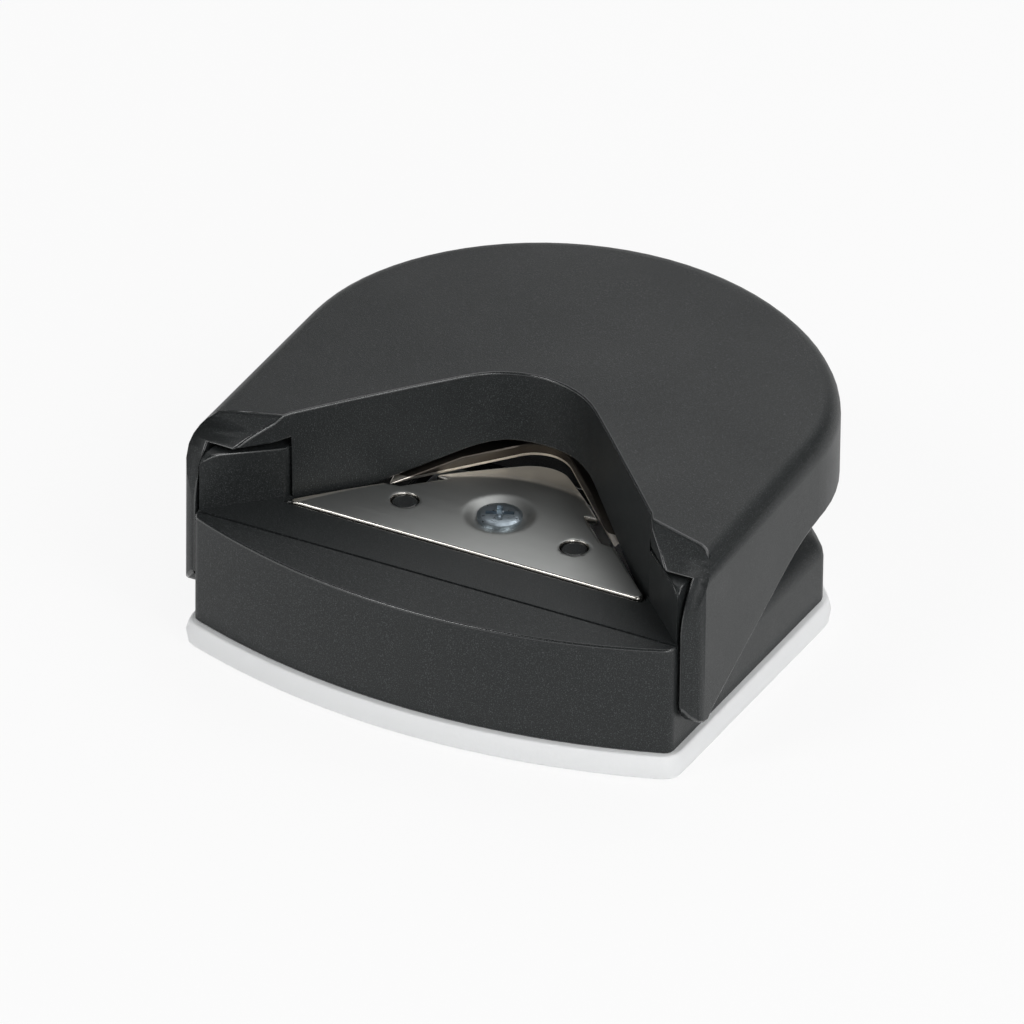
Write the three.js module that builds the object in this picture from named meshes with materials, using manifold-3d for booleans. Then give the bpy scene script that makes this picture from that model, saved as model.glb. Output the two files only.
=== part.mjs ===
// Corner punch for rounding the corners of cards and paper.
// Millimetres, +Z up, +X to the object's right, +Y to its back. The origin lies on the
// plane that the punch rests on, on its centre line, level with the base's front corners.
// The lever is modelled as it stands at rest, raised by its spring.

import * as THREE from 'three';
import { mergeVertices } from 'three/addons/utils/BufferGeometryUtils.js';
import Module from 'manifold-3d';

const wasm = await Module();
wasm.setup();

// Chip tray, the clear moulding that closes the base from below
const TRAY_HEIGHT = 2.7;
const TRAY_OVERHANG = 1.0;
const TRAY_RIDGE_HEIGHT = 1.3;
const TRAY_FOOT_SETBACK = 0.2;
const TRAY_TOP_SETBACK = 0.35;
const TRAY_CORNER = 1.6;
const TRAY_FLOOR = 1.1;
const TRAY_RIM_HEIGHT = 2.6;
const TRAY_RIM_WALL = 1.1;
const TRAY_FIT = 0.3;

// Base body, outline and levels
const BASE_FRONT_BOW = 5.28;
const BASE_REAR_CENTRE = 13;
const BASE_SIDE_BEFORE_SPRING = 4.7;
const BASE_CORNER = 0.8;
const BASE_WALL = 1.8;
const TABLE_HEIGHT = 12.8;
const TABLE_THICKNESS = 2.0;
const TABLE_BEVEL_START = 1.04;
const TABLE_BEVEL_DROP = 0.7;
const TABLE_GROOVE_WIDTH = 0.3;
const TABLE_GROOVE_DEPTH = 0.25;
const DECK_BELOW_TABLE = 5.0;
const DECK_THICKNESS = 1.8;
const DECK_FILLET = 2.5;
const SHOULDER_REACH = 16;
const WELL_SETBACK = 1.2;
const CHUTE_HALF_WIDTH = 15;
const CHUTE_BEHIND_DIE = 2.7;

// Guide posts that line the card up, one in each front corner of the table
const GUIDE_BEHIND_DIE = 0.5;
const POST_WIDTH = 6.7;
const POST_SIDE_SETBACK = 0.1;
const POST_HEIGHT_OVER_PIVOT = 9.68;
const POST_DEPTH = 4.2;
const POST_WALL = 1.6;
const POST_FRONT_ROUND = 1.7;
const POST_TOP_SLOPE = THREE.MathUtils.degToRad(5.8);
const POST_CLEARANCE = 0.3;
const POST_HEADROOM = 0.82;
const POST_ROOF_SLOPE = THREE.MathUtils.degToRad(2.1);

// Die plate, its screw and its two locating pegs
const DIE_FRONT = 7.2;
const DIE_APEX = 28.8;
const DIE_THICKNESS = 0.8;
const DIE_PROUD = 0.18;
const DIE_TIP_ROUND = 0.6;
const DIE_TIP_TUCK = 0.1;
const DIE_LEDGE = 0.8;
const DIE_RECESS_CLEARANCE = 0.25;
const CUT_RADIUS = 4.0;
const NOTCH_START = 7.9;
const NOTCH_LENGTH = 4.2;
const NOTCH_DEPTH = 1.1;
const NOTCH_STEP = 0.25;
const TONGUE_DROP = 0.75;
const TONGUE_BEND_LENGTH = 4.5;
const PEG_SPACING = 20.06;
const PEG_PLACE = 12.99;
const PEG_DIAMETER = 2.8;
const PEG_HOLE_DIAMETER = 3.4;
const PEG_BELOW_TOP = 0.15;
const DIE_SCREW_PLACE = 15.3;
const DIMPLE_DIAMETER = 7.9;
const DIMPLE_FLOOR_DIAMETER = 6.0;
const DIMPLE_DEPTH = 0.55;

// Screws, one pattern in two lengths
const SCREW_HEAD_DIAMETER = 4.5;
const SCREW_HEAD_HEIGHT = 1.05;
const SCREW_CROWN = 0.4;
const HEAD_SHOULDER_SHARE = 0.72;
const CROWN_STEP_SHARE = 0.4;
const SCREW_SHANK_DIAMETER = 2.2;
const SCREW_CROSS_LENGTH = 2.8;
const SCREW_CROSS_WIDTH = 0.6;
const SCREW_CROSS_DEPTH = 1.0;
const SCREW_HOLE_CLEARANCE = 0.3;
const DIE_SCREW_LENGTH = 6.0;
const BLADE_SCREW_LENGTH = 5.0;
const BOSS_DIAMETER = 6.4;
const BOSS_FOOT = 1.2;

// Pivot rod under the table
const PIVOT_Y = 6.5;
const PIVOT_BELOW_TABLE = 3.6;
const ROD_DIAMETER = 2.4;
const ROD_RUNNING_CLEARANCE = 0.08;
const ROD_END_FLOAT = 0.3;
const SOCKET_DEPTH = 1.2;
const ROD_RIB_PLACE = 14;
const ROD_RIB_THICKNESS = 1.5;
const ROD_RIB_DEPTH = 5.2;
const ROD_RIB_REACH = 10.5;

// Lever cover
const LEVER_SIDE_GAP = 0.25;
const LEVER_FRONT = 0.9;
const LEVER_SWELL = 0.3;
const LEVER_REAR_OVERHANG = 5.75;
const LEVER_REAR_DEPTH = 25.3;
const LEVER_FRONT_CORNER = 2.2;
const LEVER_WALL = 1.7;
const LEVER_ROOF = 2.0;
const LEVER_TOP_OVER_TABLE = 11.45;
const LEVER_TOP_PLACE = 20;
const LEVER_TOP_SLOPE = THREE.MathUtils.degToRad(2.3);
const LEVER_LIFT = THREE.MathUtils.degToRad(5.4);
const LEVER_CROWN_RADIUS = 525;
const LEVER_CROSS_CROWN_RADIUS = 243;
const LEVER_EDGE_ROUND = 2.3;
const LEVER_BROW_PLACE = 7.0;
const LEVER_BROW_PULL = 2.4;
const LEVER_BROW_DROP = 1.5;
const LEVER_CHEEK_OVER_TABLE = 0.2;
const LEVER_CHEEK_PULL = 5.3;
const LOBE_FOOT = 2.7;
const LOBE_FRONT_ROUND = 3.2;
const LOBE_BACK_PLACE = 5.2;
const LOBE_HEEL_RISE = 0.9;
const SKIRT_RISE_PLACE = 22.7;
const SKIRT_RISE_BELOW_TABLE = 1.3;
const SKIRT_REAR_OVER_TABLE = 0.6;
const SKIRT_REAR_PLACE = 32;

// Lever throat, the V-shaped mouth that the card's corner slides into
const THROAT_BEHIND_GUIDE = 0.4;
const THROAT_ROUND = 10.8;
const THROAT_WALL = 1.7;
const THROAT_JOG = 0.5;
const THROAT_JOG_LENGTH = 1.0;
const THROAT_FOOT_PLACE = 24.6;
const THROAT_FOOT_OVER_TABLE = 3.2;
const THROAT_FOOT_SLOPE = THREE.MathUtils.degToRad(20.2);
const RIB_THICKNESS = 1.2;
const RIB_DEPTH = 3.0;
const RIB_SPACING = 20;
const RIB_START = 36;

// Moving blade under the lever
const BLADE_THICKNESS = 1.5;
const BLADE_EDGE_OVER_TABLE = 0.1;
const BLADE_EDGE_PLACE = 20;
const BLADE_SHEAR_GAP = 0.32;
const BLADE_ARM_WIDTH = 2.8;
const BLADE_ARM_END = 13.5;
const BLADE_BEHIND_SCREWS = 3.3;
const BLADE_HEEL_HALF_WIDTH = 10.5;
const BLADE_SCREW_SPACING = 12;
const BLADE_SCREWS_BEHIND_DIE = 2.4;
const BLADE_SEAT_GAP = 0.1;
const BLADE_TOP_CLEARANCE = 0.25;

// Return spring between the deck and the lever
const SPRING_BEHIND_BLADE = 0.5;
const SPRING_DIAMETER = 10;
const SPRING_WIRE = 1.0;
const SPRING_TURNS = 6;
const SPRING_CLOSED_TURNS = 1;
const SPRING_CLOSED_GAP = 0.45;
const SPRING_SEAT_GAP = 0.1;
const SPRING_POST_HEIGHT = 3.0;
const SPRING_POST_CLEARANCE = 0.5;
const SPRING_CUP_WALL = 1.2;
const SPRING_CUP_DEPTH = 2.2;

// Cutting overrun and the counts of facets on round stretches
const OVERRUN = 2.0;
const FRONT_ARC_STEPS = 12;
const REAR_ARC_STEPS = 14;
const TOP_COLUMNS = 10;
const CORNER_STEPS = 3;
const ELLIPSE_STEPS = 20;
const FILLET_STEPS = 5;
const THROAT_STEPS = 12;
const ROUND_STEPS = 28;
const SPRING_STEPS = 8;
const SPRING_SIDES = 5;

// Levels that several pieces share
const BASE_FOOT = TRAY_HEIGHT;
const TABLE_TOP = BASE_FOOT + TABLE_HEIGHT;
const DECK_TOP = TABLE_TOP - DECK_BELOW_TABLE;
const DIE_TOP = TABLE_TOP + DIE_PROUD;
const DIE_FOOT = DIE_TOP - DIE_THICKNESS;
const PIVOT_Z = TABLE_TOP - PIVOT_BELOW_TABLE;
const LEVER_TOP = TABLE_TOP + LEVER_TOP_OVER_TABLE;
const SKY = LEVER_TOP + LEVER_TOP_OVER_TABLE;

// Lines across, each taken from its neighbour towards the centre
const WELL_HALF_WIDTH = DIE_APEX - DIE_FRONT - DIE_TIP_TUCK;
const HALF_BASE = WELL_HALF_WIDTH + POST_WIDTH + POST_SIDE_SETBACK;
const LEVER_INNER = HALF_BASE + LEVER_SIDE_GAP;
const HALF_LEVER = LEVER_INNER + LEVER_WALL;
const THROAT_END = WELL_HALF_WIDTH - POST_CLEARANCE;

// Lines from front to back, all led by the die plate
const WELL_FRONT = DIE_FRONT + WELL_SETBACK;
const GUIDE_APEX = DIE_APEX + GUIDE_BEHIND_DIE;
const THROAT_APEX = GUIDE_APEX + THROAT_BEHIND_GUIDE;
const CHUTE_REACH = DIE_APEX + CHUTE_BEHIND_DIE;
const BLADE_SCREW_PLACE = DIE_APEX + BLADE_SCREWS_BEHIND_DIE;
const BLADE_REAR = BLADE_SCREW_PLACE + BLADE_BEHIND_SCREWS;
const SPRING_PLACE = BLADE_REAR + SPRING_BEHIND_BLADE + SPRING_DIAMETER / 2;
const BASE_SIDE_LENGTH = SPRING_PLACE - BASE_SIDE_BEFORE_SPRING;
const BASE_REAR_RADIUS = Math.hypot(HALF_BASE, BASE_SIDE_LENGTH - BASE_REAR_CENTRE);
const LEVER_REAR = BASE_REAR_CENTRE + BASE_REAR_RADIUS + LEVER_REAR_OVERHANG;
const LEVER_STRAIGHT_END = LEVER_REAR - LEVER_REAR_DEPTH;

// Joining and cutting of closed meshes

function solid(geometry) {
  const bare = geometry.clone();
  bare.deleteAttribute('normal');
  bare.deleteAttribute('uv');
  const merged = mergeVertices(bare);
  const mesh = new wasm.Mesh({
    numProp: 3,
    vertProperties: new Float32Array(merged.attributes.position.array),
    triVerts: new Uint32Array(merged.index.array),
  });
  mesh.merge();
  return new wasm.Manifold(mesh);
}

function shape3d(body) {
  const mesh = body.getMesh();
  const geometry = new THREE.BufferGeometry();
  geometry.setAttribute('position', new THREE.BufferAttribute(mesh.vertProperties, 3));
  geometry.setIndex(new THREE.BufferAttribute(mesh.triVerts, 1));
  geometry.computeVertexNormals();
  return geometry;
}

function join(first, ...others) {
  return others.reduce((sum, other) => sum.add(other), first);
}

function cut(first, ...others) {
  return others.reduce((rest, other) => rest.subtract(other), first);
}

// Basic forms: an upright prism, a profile drawn in Y and Z run across X, round bars

function prism(points, low, high) {
  const geometry = new THREE.ExtrudeGeometry(new THREE.Shape(points), {
    depth: high - low,
    bevelEnabled: false,
  });
  return solid(geometry.translate(0, 0, low));
}

function across(profile, left, right) {
  const geometry = new THREE.ExtrudeGeometry(new THREE.Shape(profile), {
    depth: right - left,
    bevelEnabled: false,
  });
  geometry.translate(0, 0, left);
  const toYandZ = new THREE.Matrix4().makeBasis(
    new THREE.Vector3(0, 1, 0),
    new THREE.Vector3(0, 0, 1),
    new THREE.Vector3(1, 0, 0),
  );
  return solid(geometry.applyMatrix4(toYandZ));
}

function upright(radius, x, y, low, high) {
  const geometry = new THREE.CylinderGeometry(radius, radius, high - low, ROUND_STEPS);
  geometry.rotateX(Math.PI / 2);
  return solid(geometry.translate(x, y, (low + high) / 2));
}

function crossbar(radius, left, right, y, z) {
  const geometry = new THREE.CylinderGeometry(radius, radius, right - left, ROUND_STEPS);
  geometry.rotateZ(Math.PI / 2);
  return solid(geometry.translate((left + right) / 2, y, z));
}

function revolved(profile) {
  const points = profile.map(([radius, height]) => new THREE.Vector2(radius, height));
  return new THREE.LatheGeometry(points, ROUND_STEPS).rotateX(Math.PI / 2);
}

function arc(centreX, centreY, radius, from, to, steps) {
  return Array.from({ length: steps + 1 }, (_, step) => {
    const angle = from + ((to - from) * step) / steps;
    return new THREE.Vector2(
      centreX + radius * Math.cos(angle),
      centreY + radius * Math.sin(angle),
    );
  });
}

// A body lofted through rings that are alike left and right. Each ring is given by its
// right half, from the centre line in front round to the centre line at the back, and
// by its height. The upper end is flat, or domed as domeAt gives it.

function ring(half, heightAt) {
  const left = half.slice(1, -1).reverse().map((p) => new THREE.Vector2(-p.x, p.y));
  return [...half, ...left].map((p) => new THREE.Vector3(p.x, p.y, heightAt(p.x, p.y)));
}

function lofted(rings, domeAt = null) {
  const count = rings[0].length;
  const half = count / 2;
  const positions = rings.flat().flatMap((p) => [p.x, p.y, p.z]);
  const faces = [];
  rings.slice(1).forEach((_, level) => {
    const low = level * count;
    const high = low + count;
    for (let i = 0; i < count; i += 1) {
      const next = (i + 1) % count;
      faces.push(low + i, low + next, high + next);
      faces.push(low + i, high + next, high + i);
    }
  });
  const rowAcross = (start, i, columns) => {
    const row = [start + i];
    const edge = rings[rings.length - 1][i];
    for (let column = 1; column < columns; column += 1) {
      const x = edge.x * (1 - (2 * column) / columns);
      row.push(positions.length / 3);
      positions.push(x, edge.y, domeAt(x, edge.y));
    }
    return [...row, start + count - i];
  };
  const addCap = (start, upwards, columns) => {
    const face = (a, b, c) => {
      if (upwards) faces.push(a, b, c);
      else faces.push(a, c, b);
    };
    const rows = Array.from({ length: half - 1 }, (_, i) => rowAcross(start, i + 1, columns));
    for (let k = 0; k < columns; k += 1) {
      face(start, rows[0][k], rows[0][k + 1]);
      face(rows[half - 2][k], start + half, rows[half - 2][k + 1]);
      rows.slice(1).forEach((row, i) => {
        face(rows[i][k], row[k], row[k + 1]);
        face(rows[i][k], row[k + 1], rows[i][k + 1]);
      });
    }
  };
  addCap(0, false, 1);
  addCap((rings.length - 1) * count, true, domeAt ? TOP_COLUMNS : 1);
  const geometry = new THREE.BufferGeometry();
  geometry.setAttribute('position', new THREE.Float32BufferAttribute(positions, 3));
  geometry.setIndex(faces);
  return solid(geometry);
}

// A 45 degree V across the centre line, its sharp apex at the given Y, rounded off

function veePoints(apex, radius, endX, steps) {
  const centre = apex - radius * Math.SQRT2;
  const bow = arc(0, centre, radius, Math.PI / 4, (3 * Math.PI) / 4, steps);
  return [
    new THREE.Vector2(endX, apex - endX),
    ...bow,
    new THREE.Vector2(-endX, apex - endX),
  ];
}

// Base outline, offset outward from the walls, front centre to rear centre

function baseHalf(offset, corner) {
  const side = HALF_BASE + offset;
  const bow = BASE_FRONT_BOW;
  const frontRadius = (HALF_BASE * HALF_BASE + bow * bow) / (2 * bow) + offset;
  const frontCentre = frontRadius - offset - bow;
  const rearRadius = BASE_REAR_RADIUS + offset;
  const frontAngle = Math.asin(side / frontRadius);
  const rearAngle = Math.acos(side / rearRadius);
  const frontEnd = new THREE.Vector2(side, frontCentre - frontRadius * Math.cos(frontAngle));
  const rearEnd = new THREE.Vector2(side, BASE_REAR_CENTRE + rearRadius * Math.sin(rearAngle));
  const frontArc = arc(
    0,
    frontCentre,
    frontRadius,
    -Math.PI / 2,
    -Math.PI / 2 + frontAngle - corner / frontRadius,
    FRONT_ARC_STEPS,
  );
  const rearArc = arc(
    0,
    BASE_REAR_CENTRE,
    rearRadius,
    rearAngle + corner / rearRadius,
    Math.PI / 2,
    REAR_ARC_STEPS,
  );
  frontArc[0].x = 0;
  rearArc[REAR_ARC_STEPS].x = 0;
  const round = (from, control, to) =>
    new THREE.QuadraticBezierCurve(from, control, to).getPoints(CORNER_STEPS).slice(1);
  const sideStart = new THREE.Vector2(side, frontEnd.y + corner);
  const sideEnd = new THREE.Vector2(side, rearEnd.y - corner);
  return [
    ...frontArc,
    ...round(frontArc[FRONT_ARC_STEPS], frontEnd, sideStart),
    sideEnd,
    ...round(sideEnd, rearEnd, rearArc[0]),
    ...rearArc.slice(1),
  ];
}

function baseRing(offset, height, corner = BASE_CORNER) {
  return ring(baseHalf(offset, corner), () => height);
}

// Chip tray: a flange with a ridge round it and a rim that plugs into the base

function chipTray() {
  const flange = lofted([
    baseRing(TRAY_OVERHANG - TRAY_FOOT_SETBACK, 0, TRAY_CORNER),
    baseRing(TRAY_OVERHANG, TRAY_RIDGE_HEIGHT, TRAY_CORNER),
    baseRing(TRAY_OVERHANG - TRAY_TOP_SETBACK, TRAY_HEIGHT, TRAY_CORNER),
  ]);
  const rimOffset = -BASE_WALL - TRAY_FIT;
  const rimTop = TRAY_HEIGHT + TRAY_RIM_HEIGHT;
  const rim = lofted([
    baseRing(rimOffset, TRAY_FLOOR),
    baseRing(rimOffset, rimTop),
  ]);
  const hollow = lofted([
    baseRing(rimOffset - TRAY_RIM_WALL, TRAY_FLOOR),
    baseRing(rimOffset - TRAY_RIM_WALL, rimTop + OVERRUN),
  ]);
  return cut(join(flange, rim), hollow);
}

// Base body: a shell open below, with the table in front, the low deck behind and the
// chute that drops the chips between them

function frontZone(inset) {
  const apex = DIE_APEX - (DIE_LEDGE + inset) * Math.SQRT2;
  const radius = CUT_RADIUS - DIE_LEDGE - inset;
  const well = WELL_HALF_WIDTH + inset;
  const side = HALF_BASE + OVERRUN;
  const front = -BASE_FRONT_BOW - OVERRUN;
  const shoulder = SHOULDER_REACH - inset;
  const wellFront = WELL_FRONT - inset;
  return [
    new THREE.Vector2(-side, front),
    new THREE.Vector2(side, front),
    new THREE.Vector2(side, shoulder),
    new THREE.Vector2(well, shoulder),
    new THREE.Vector2(well, wellFront),
    ...veePoints(apex, radius, apex - wellFront, FILLET_STEPS),
    new THREE.Vector2(-well, wellFront),
    new THREE.Vector2(-well, shoulder),
    new THREE.Vector2(-side, shoulder),
  ];
}

function postPlan(side, inset) {
  const face = GUIDE_APEX + inset * Math.SQRT2;
  const back = GUIDE_APEX + (POST_DEPTH - inset) * Math.SQRT2;
  const inner = WELL_HALF_WIDTH + inset;
  const outer = HALF_BASE - POST_SIDE_SETBACK - inset;
  const points = [
    new THREE.Vector2(outer, face - outer),
    new THREE.Vector2(outer, back - outer),
    new THREE.Vector2(inner, back - inner),
    new THREE.Vector2(inner, face - inner),
  ];
  return points.map((p) => new THREE.Vector2(side * p.x, p.y));
}

function postTopAt(y, drop) {
  const fall = (y - PIVOT_Y) * Math.tan(POST_TOP_SLOPE);
  return PIVOT_Z + POST_HEIGHT_OVER_PIVOT - drop - fall;
}

function postProfile(drop) {
  const front = GUIDE_APEX - HALF_BASE;
  const round = POST_FRONT_ROUND;
  const crest = postTopAt(front + round, drop);
  const corner = arc(front + round, crest - round, round, Math.PI, Math.PI / 2, FILLET_STEPS);
  const foot = TABLE_TOP - TABLE_THICKNESS;
  return [
    new THREE.Vector2(front, foot),
    ...corner,
    new THREE.Vector2(SHOULDER_REACH, postTopAt(SHOULDER_REACH, drop)),
    new THREE.Vector2(SHOULDER_REACH, foot),
  ].reverse();
}

function guidePost(side) {
  const plan = prism(postPlan(side, 0), TABLE_TOP - TABLE_THICKNESS, SKY);
  return plan.intersect(across(postProfile(0), -HALF_BASE, HALF_BASE));
}

function postHollow(side) {
  const plan = prism(postPlan(side, POST_WALL), TABLE_TOP - TABLE_THICKNESS - OVERRUN, SKY);
  const under = across(postProfile(POST_WALL), -HALF_BASE, HALF_BASE);
  return plan.intersect(under);
}

function dieHalfOutline(clearance) {
  const apex = DIE_APEX + clearance * Math.SQRT2;
  const front = DIE_FRONT - clearance;
  const tipRun = DIE_TIP_ROUND / Math.tan(Math.PI / 8);
  const tipCentre = new THREE.Vector2(apex - front - tipRun, front + DIE_TIP_ROUND);
  const tip = arc(
    tipCentre.x,
    tipCentre.y,
    DIE_TIP_ROUND,
    -Math.PI / 2,
    Math.PI / 4,
    FILLET_STEPS,
  );
  return { apex, tip };
}

function dieRecess() {
  const { apex, tip } = dieHalfOutline(DIE_RECESS_CLEARANCE);
  const right = [...tip, new THREE.Vector2(0, apex)];
  const left = tip.map((p) => new THREE.Vector2(-p.x, p.y)).reverse();
  return prism([...right, ...left], DIE_FOOT, TABLE_TOP + OVERRUN);
}

function tongueRelief() {
  const floor = DIE_FOOT - TONGUE_DROP - DIE_RECESS_CLEARANCE;
  const front = tongueBendStart() - DIE_RECESS_CLEARANCE;
  const profile = [
    new THREE.Vector2(front, floor),
    new THREE.Vector2(DIE_APEX, floor),
    new THREE.Vector2(DIE_APEX, SKY),
    new THREE.Vector2(front, SKY),
  ];
  return across(profile, -WELL_HALF_WIDTH, WELL_HALF_WIDTH);
}

function tongueBendStart() {
  return DIE_APEX - CUT_RADIUS * (Math.SQRT2 - 1) - TONGUE_BEND_LENGTH;
}

function rodRib(x) {
  const half = ROD_RIB_THICKNESS / 2;
  const roof = TABLE_TOP - TABLE_THICKNESS;
  const profile = [
    new THREE.Vector2(-BASE_FRONT_BOW, roof - ROD_RIB_DEPTH),
    new THREE.Vector2(ROD_RIB_REACH, roof - ROD_RIB_DEPTH),
    new THREE.Vector2(ROD_RIB_REACH, roof + BASE_WALL / 2),
    new THREE.Vector2(-BASE_FRONT_BOW, roof + BASE_WALL / 2),
  ];
  return across(profile, x - half, x + half);
}

function baseBody() {
  const deckWall = DECK_TOP - DECK_FILLET;
  const filletRings = Array.from({ length: FILLET_STEPS + 1 }, (_, step) => {
    const angle = (Math.PI / 2) * (step / FILLET_STEPS);
    return baseRing(
      -DECK_FILLET * (1 - Math.cos(angle)),
      deckWall + DECK_FILLET * Math.sin(angle),
    );
  });
  const low = lofted([baseRing(0, BASE_FOOT), ...filletRings]);
  const block = lofted([baseRing(0, BASE_FOOT), baseRing(0, TABLE_TOP)]);
  const table = block.intersect(prism(frontZone(0), BASE_FOOT, SKY));
  const bevelFront = -BASE_FRONT_BOW - OVERRUN;
  const grooveFront = TABLE_BEVEL_START - TABLE_GROOVE_WIDTH;
  const bevel = across(
    [
      new THREE.Vector2(bevelFront, TABLE_TOP + OVERRUN),
      new THREE.Vector2(bevelFront, TABLE_TOP - bevelDropAt(bevelFront)),
      new THREE.Vector2(grooveFront, TABLE_TOP - bevelDropAt(grooveFront)),
      new THREE.Vector2(grooveFront, TABLE_TOP - TABLE_GROOVE_DEPTH),
      new THREE.Vector2(TABLE_BEVEL_START, TABLE_TOP - TABLE_GROOVE_DEPTH),
      new THREE.Vector2(TABLE_BEVEL_START, TABLE_TOP + OVERRUN),
    ],
    -HALF_BASE - OVERRUN,
    HALF_BASE + OVERRUN,
  );
  const posts = join(guidePost(1), guidePost(-1));
  const outside = join(low, cut(table, bevel), posts);

  const lowHollow = lofted([
    baseRing(-BASE_WALL, BASE_FOOT - OVERRUN),
    baseRing(-BASE_WALL, DECK_TOP - DECK_THICKNESS - DECK_FILLET / 2),
    baseRing(-BASE_WALL - DECK_FILLET / 2, DECK_TOP - DECK_THICKNESS),
  ]);
  const blockHollow = lofted([
    baseRing(-BASE_WALL, BASE_FOOT - OVERRUN),
    baseRing(-BASE_WALL, TABLE_TOP - TABLE_THICKNESS),
  ]);
  const tableHollow = blockHollow.intersect(prism(frontZone(BASE_WALL), 0, SKY));
  const riserFoot = DECK_TOP - DECK_THICKNESS;
  const riserInside = prism(frontZone(BASE_WALL), riserFoot, SKY);
  const riser = cut(prism(frontZone(0), riserFoot, SKY), riserInside);
  const deckHollow = cut(lowHollow, riser);
  const shell = cut(
    outside,
    deckHollow,
    tableHollow,
    postHollow(1),
    postHollow(-1),
  );

  const chute = cut(
    prism(
      [
        new THREE.Vector2(CHUTE_HALF_WIDTH, 0),
        new THREE.Vector2(CHUTE_HALF_WIDTH, CHUTE_REACH),
        new THREE.Vector2(-CHUTE_HALF_WIDTH, CHUTE_REACH),
        new THREE.Vector2(-CHUTE_HALF_WIDTH, 0),
      ],
      BASE_FOOT - OVERRUN,
      TABLE_TOP + OVERRUN,
    ),
    prism(frontZone(0), 0, SKY),
  );
  const ribs = join(rodRib(ROD_RIB_PLACE), rodRib(-ROD_RIB_PLACE)).intersect(
    lofted([baseRing(-BASE_WALL / 2, BASE_FOOT), baseRing(-BASE_WALL / 2, TABLE_TOP)]),
  );
  const screwBoss = upright(
    BOSS_DIAMETER / 2,
    0,
    DIE_SCREW_PLACE,
    DIE_FOOT - DIMPLE_DEPTH - DIE_SCREW_LENGTH - BOSS_FOOT,
    TABLE_TOP - TABLE_THICKNESS / 2,
  );
  const pegs = [1, -1].map((side) =>
    upright(
      PEG_DIAMETER / 2,
      (side * PEG_SPACING) / 2,
      PEG_PLACE,
      DIE_FOOT - TABLE_THICKNESS / 2,
      DIE_TOP - PEG_BELOW_TOP,
    ),
  );
  const springPost = upright(
    springPostRadius(),
    0,
    SPRING_PLACE,
    DECK_TOP - DECK_THICKNESS / 2,
    DECK_TOP + SPRING_POST_HEIGHT,
  );
  const dimple = upright(
    DIMPLE_DIAMETER / 2 + DIE_RECESS_CLEARANCE,
    0,
    DIE_SCREW_PLACE,
    DIE_FOOT - DIMPLE_DEPTH,
    TABLE_TOP + OVERRUN,
  );
  const pilot = upright(
    (SCREW_SHANK_DIAMETER + SCREW_HOLE_CLEARANCE) / 2,
    0,
    DIE_SCREW_PLACE,
    DIE_FOOT - DIMPLE_DEPTH - DIE_SCREW_LENGTH,
    TABLE_TOP,
  );
  const bearing = crossbar(
    ROD_DIAMETER / 2 + ROD_RUNNING_CLEARANCE,
    -HALF_BASE - OVERRUN,
    HALF_BASE + OVERRUN,
    PIVOT_Y,
    PIVOT_Z,
  );
  const dressed = cut(
    join(shell, ribs, screwBoss, springPost),
    chute,
    dieRecess(),
    tongueRelief(),
    dimple,
  );
  return cut(join(dressed, ...pegs), pilot, bearing);
}

function bevelDropAt(y) {
  const slope = TABLE_BEVEL_DROP / (TABLE_BEVEL_START + BASE_FRONT_BOW);
  return slope * (TABLE_BEVEL_START - y);
}

function springPostRadius() {
  return SPRING_DIAMETER / 2 - SPRING_WIRE - SPRING_POST_CLEARANCE;
}

// Die plate: stamped steel, pointed at both ends, with relief notches behind the arms,
// a dimple for the screw and a tongue whose round edge is the fixed cutting edge

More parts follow.
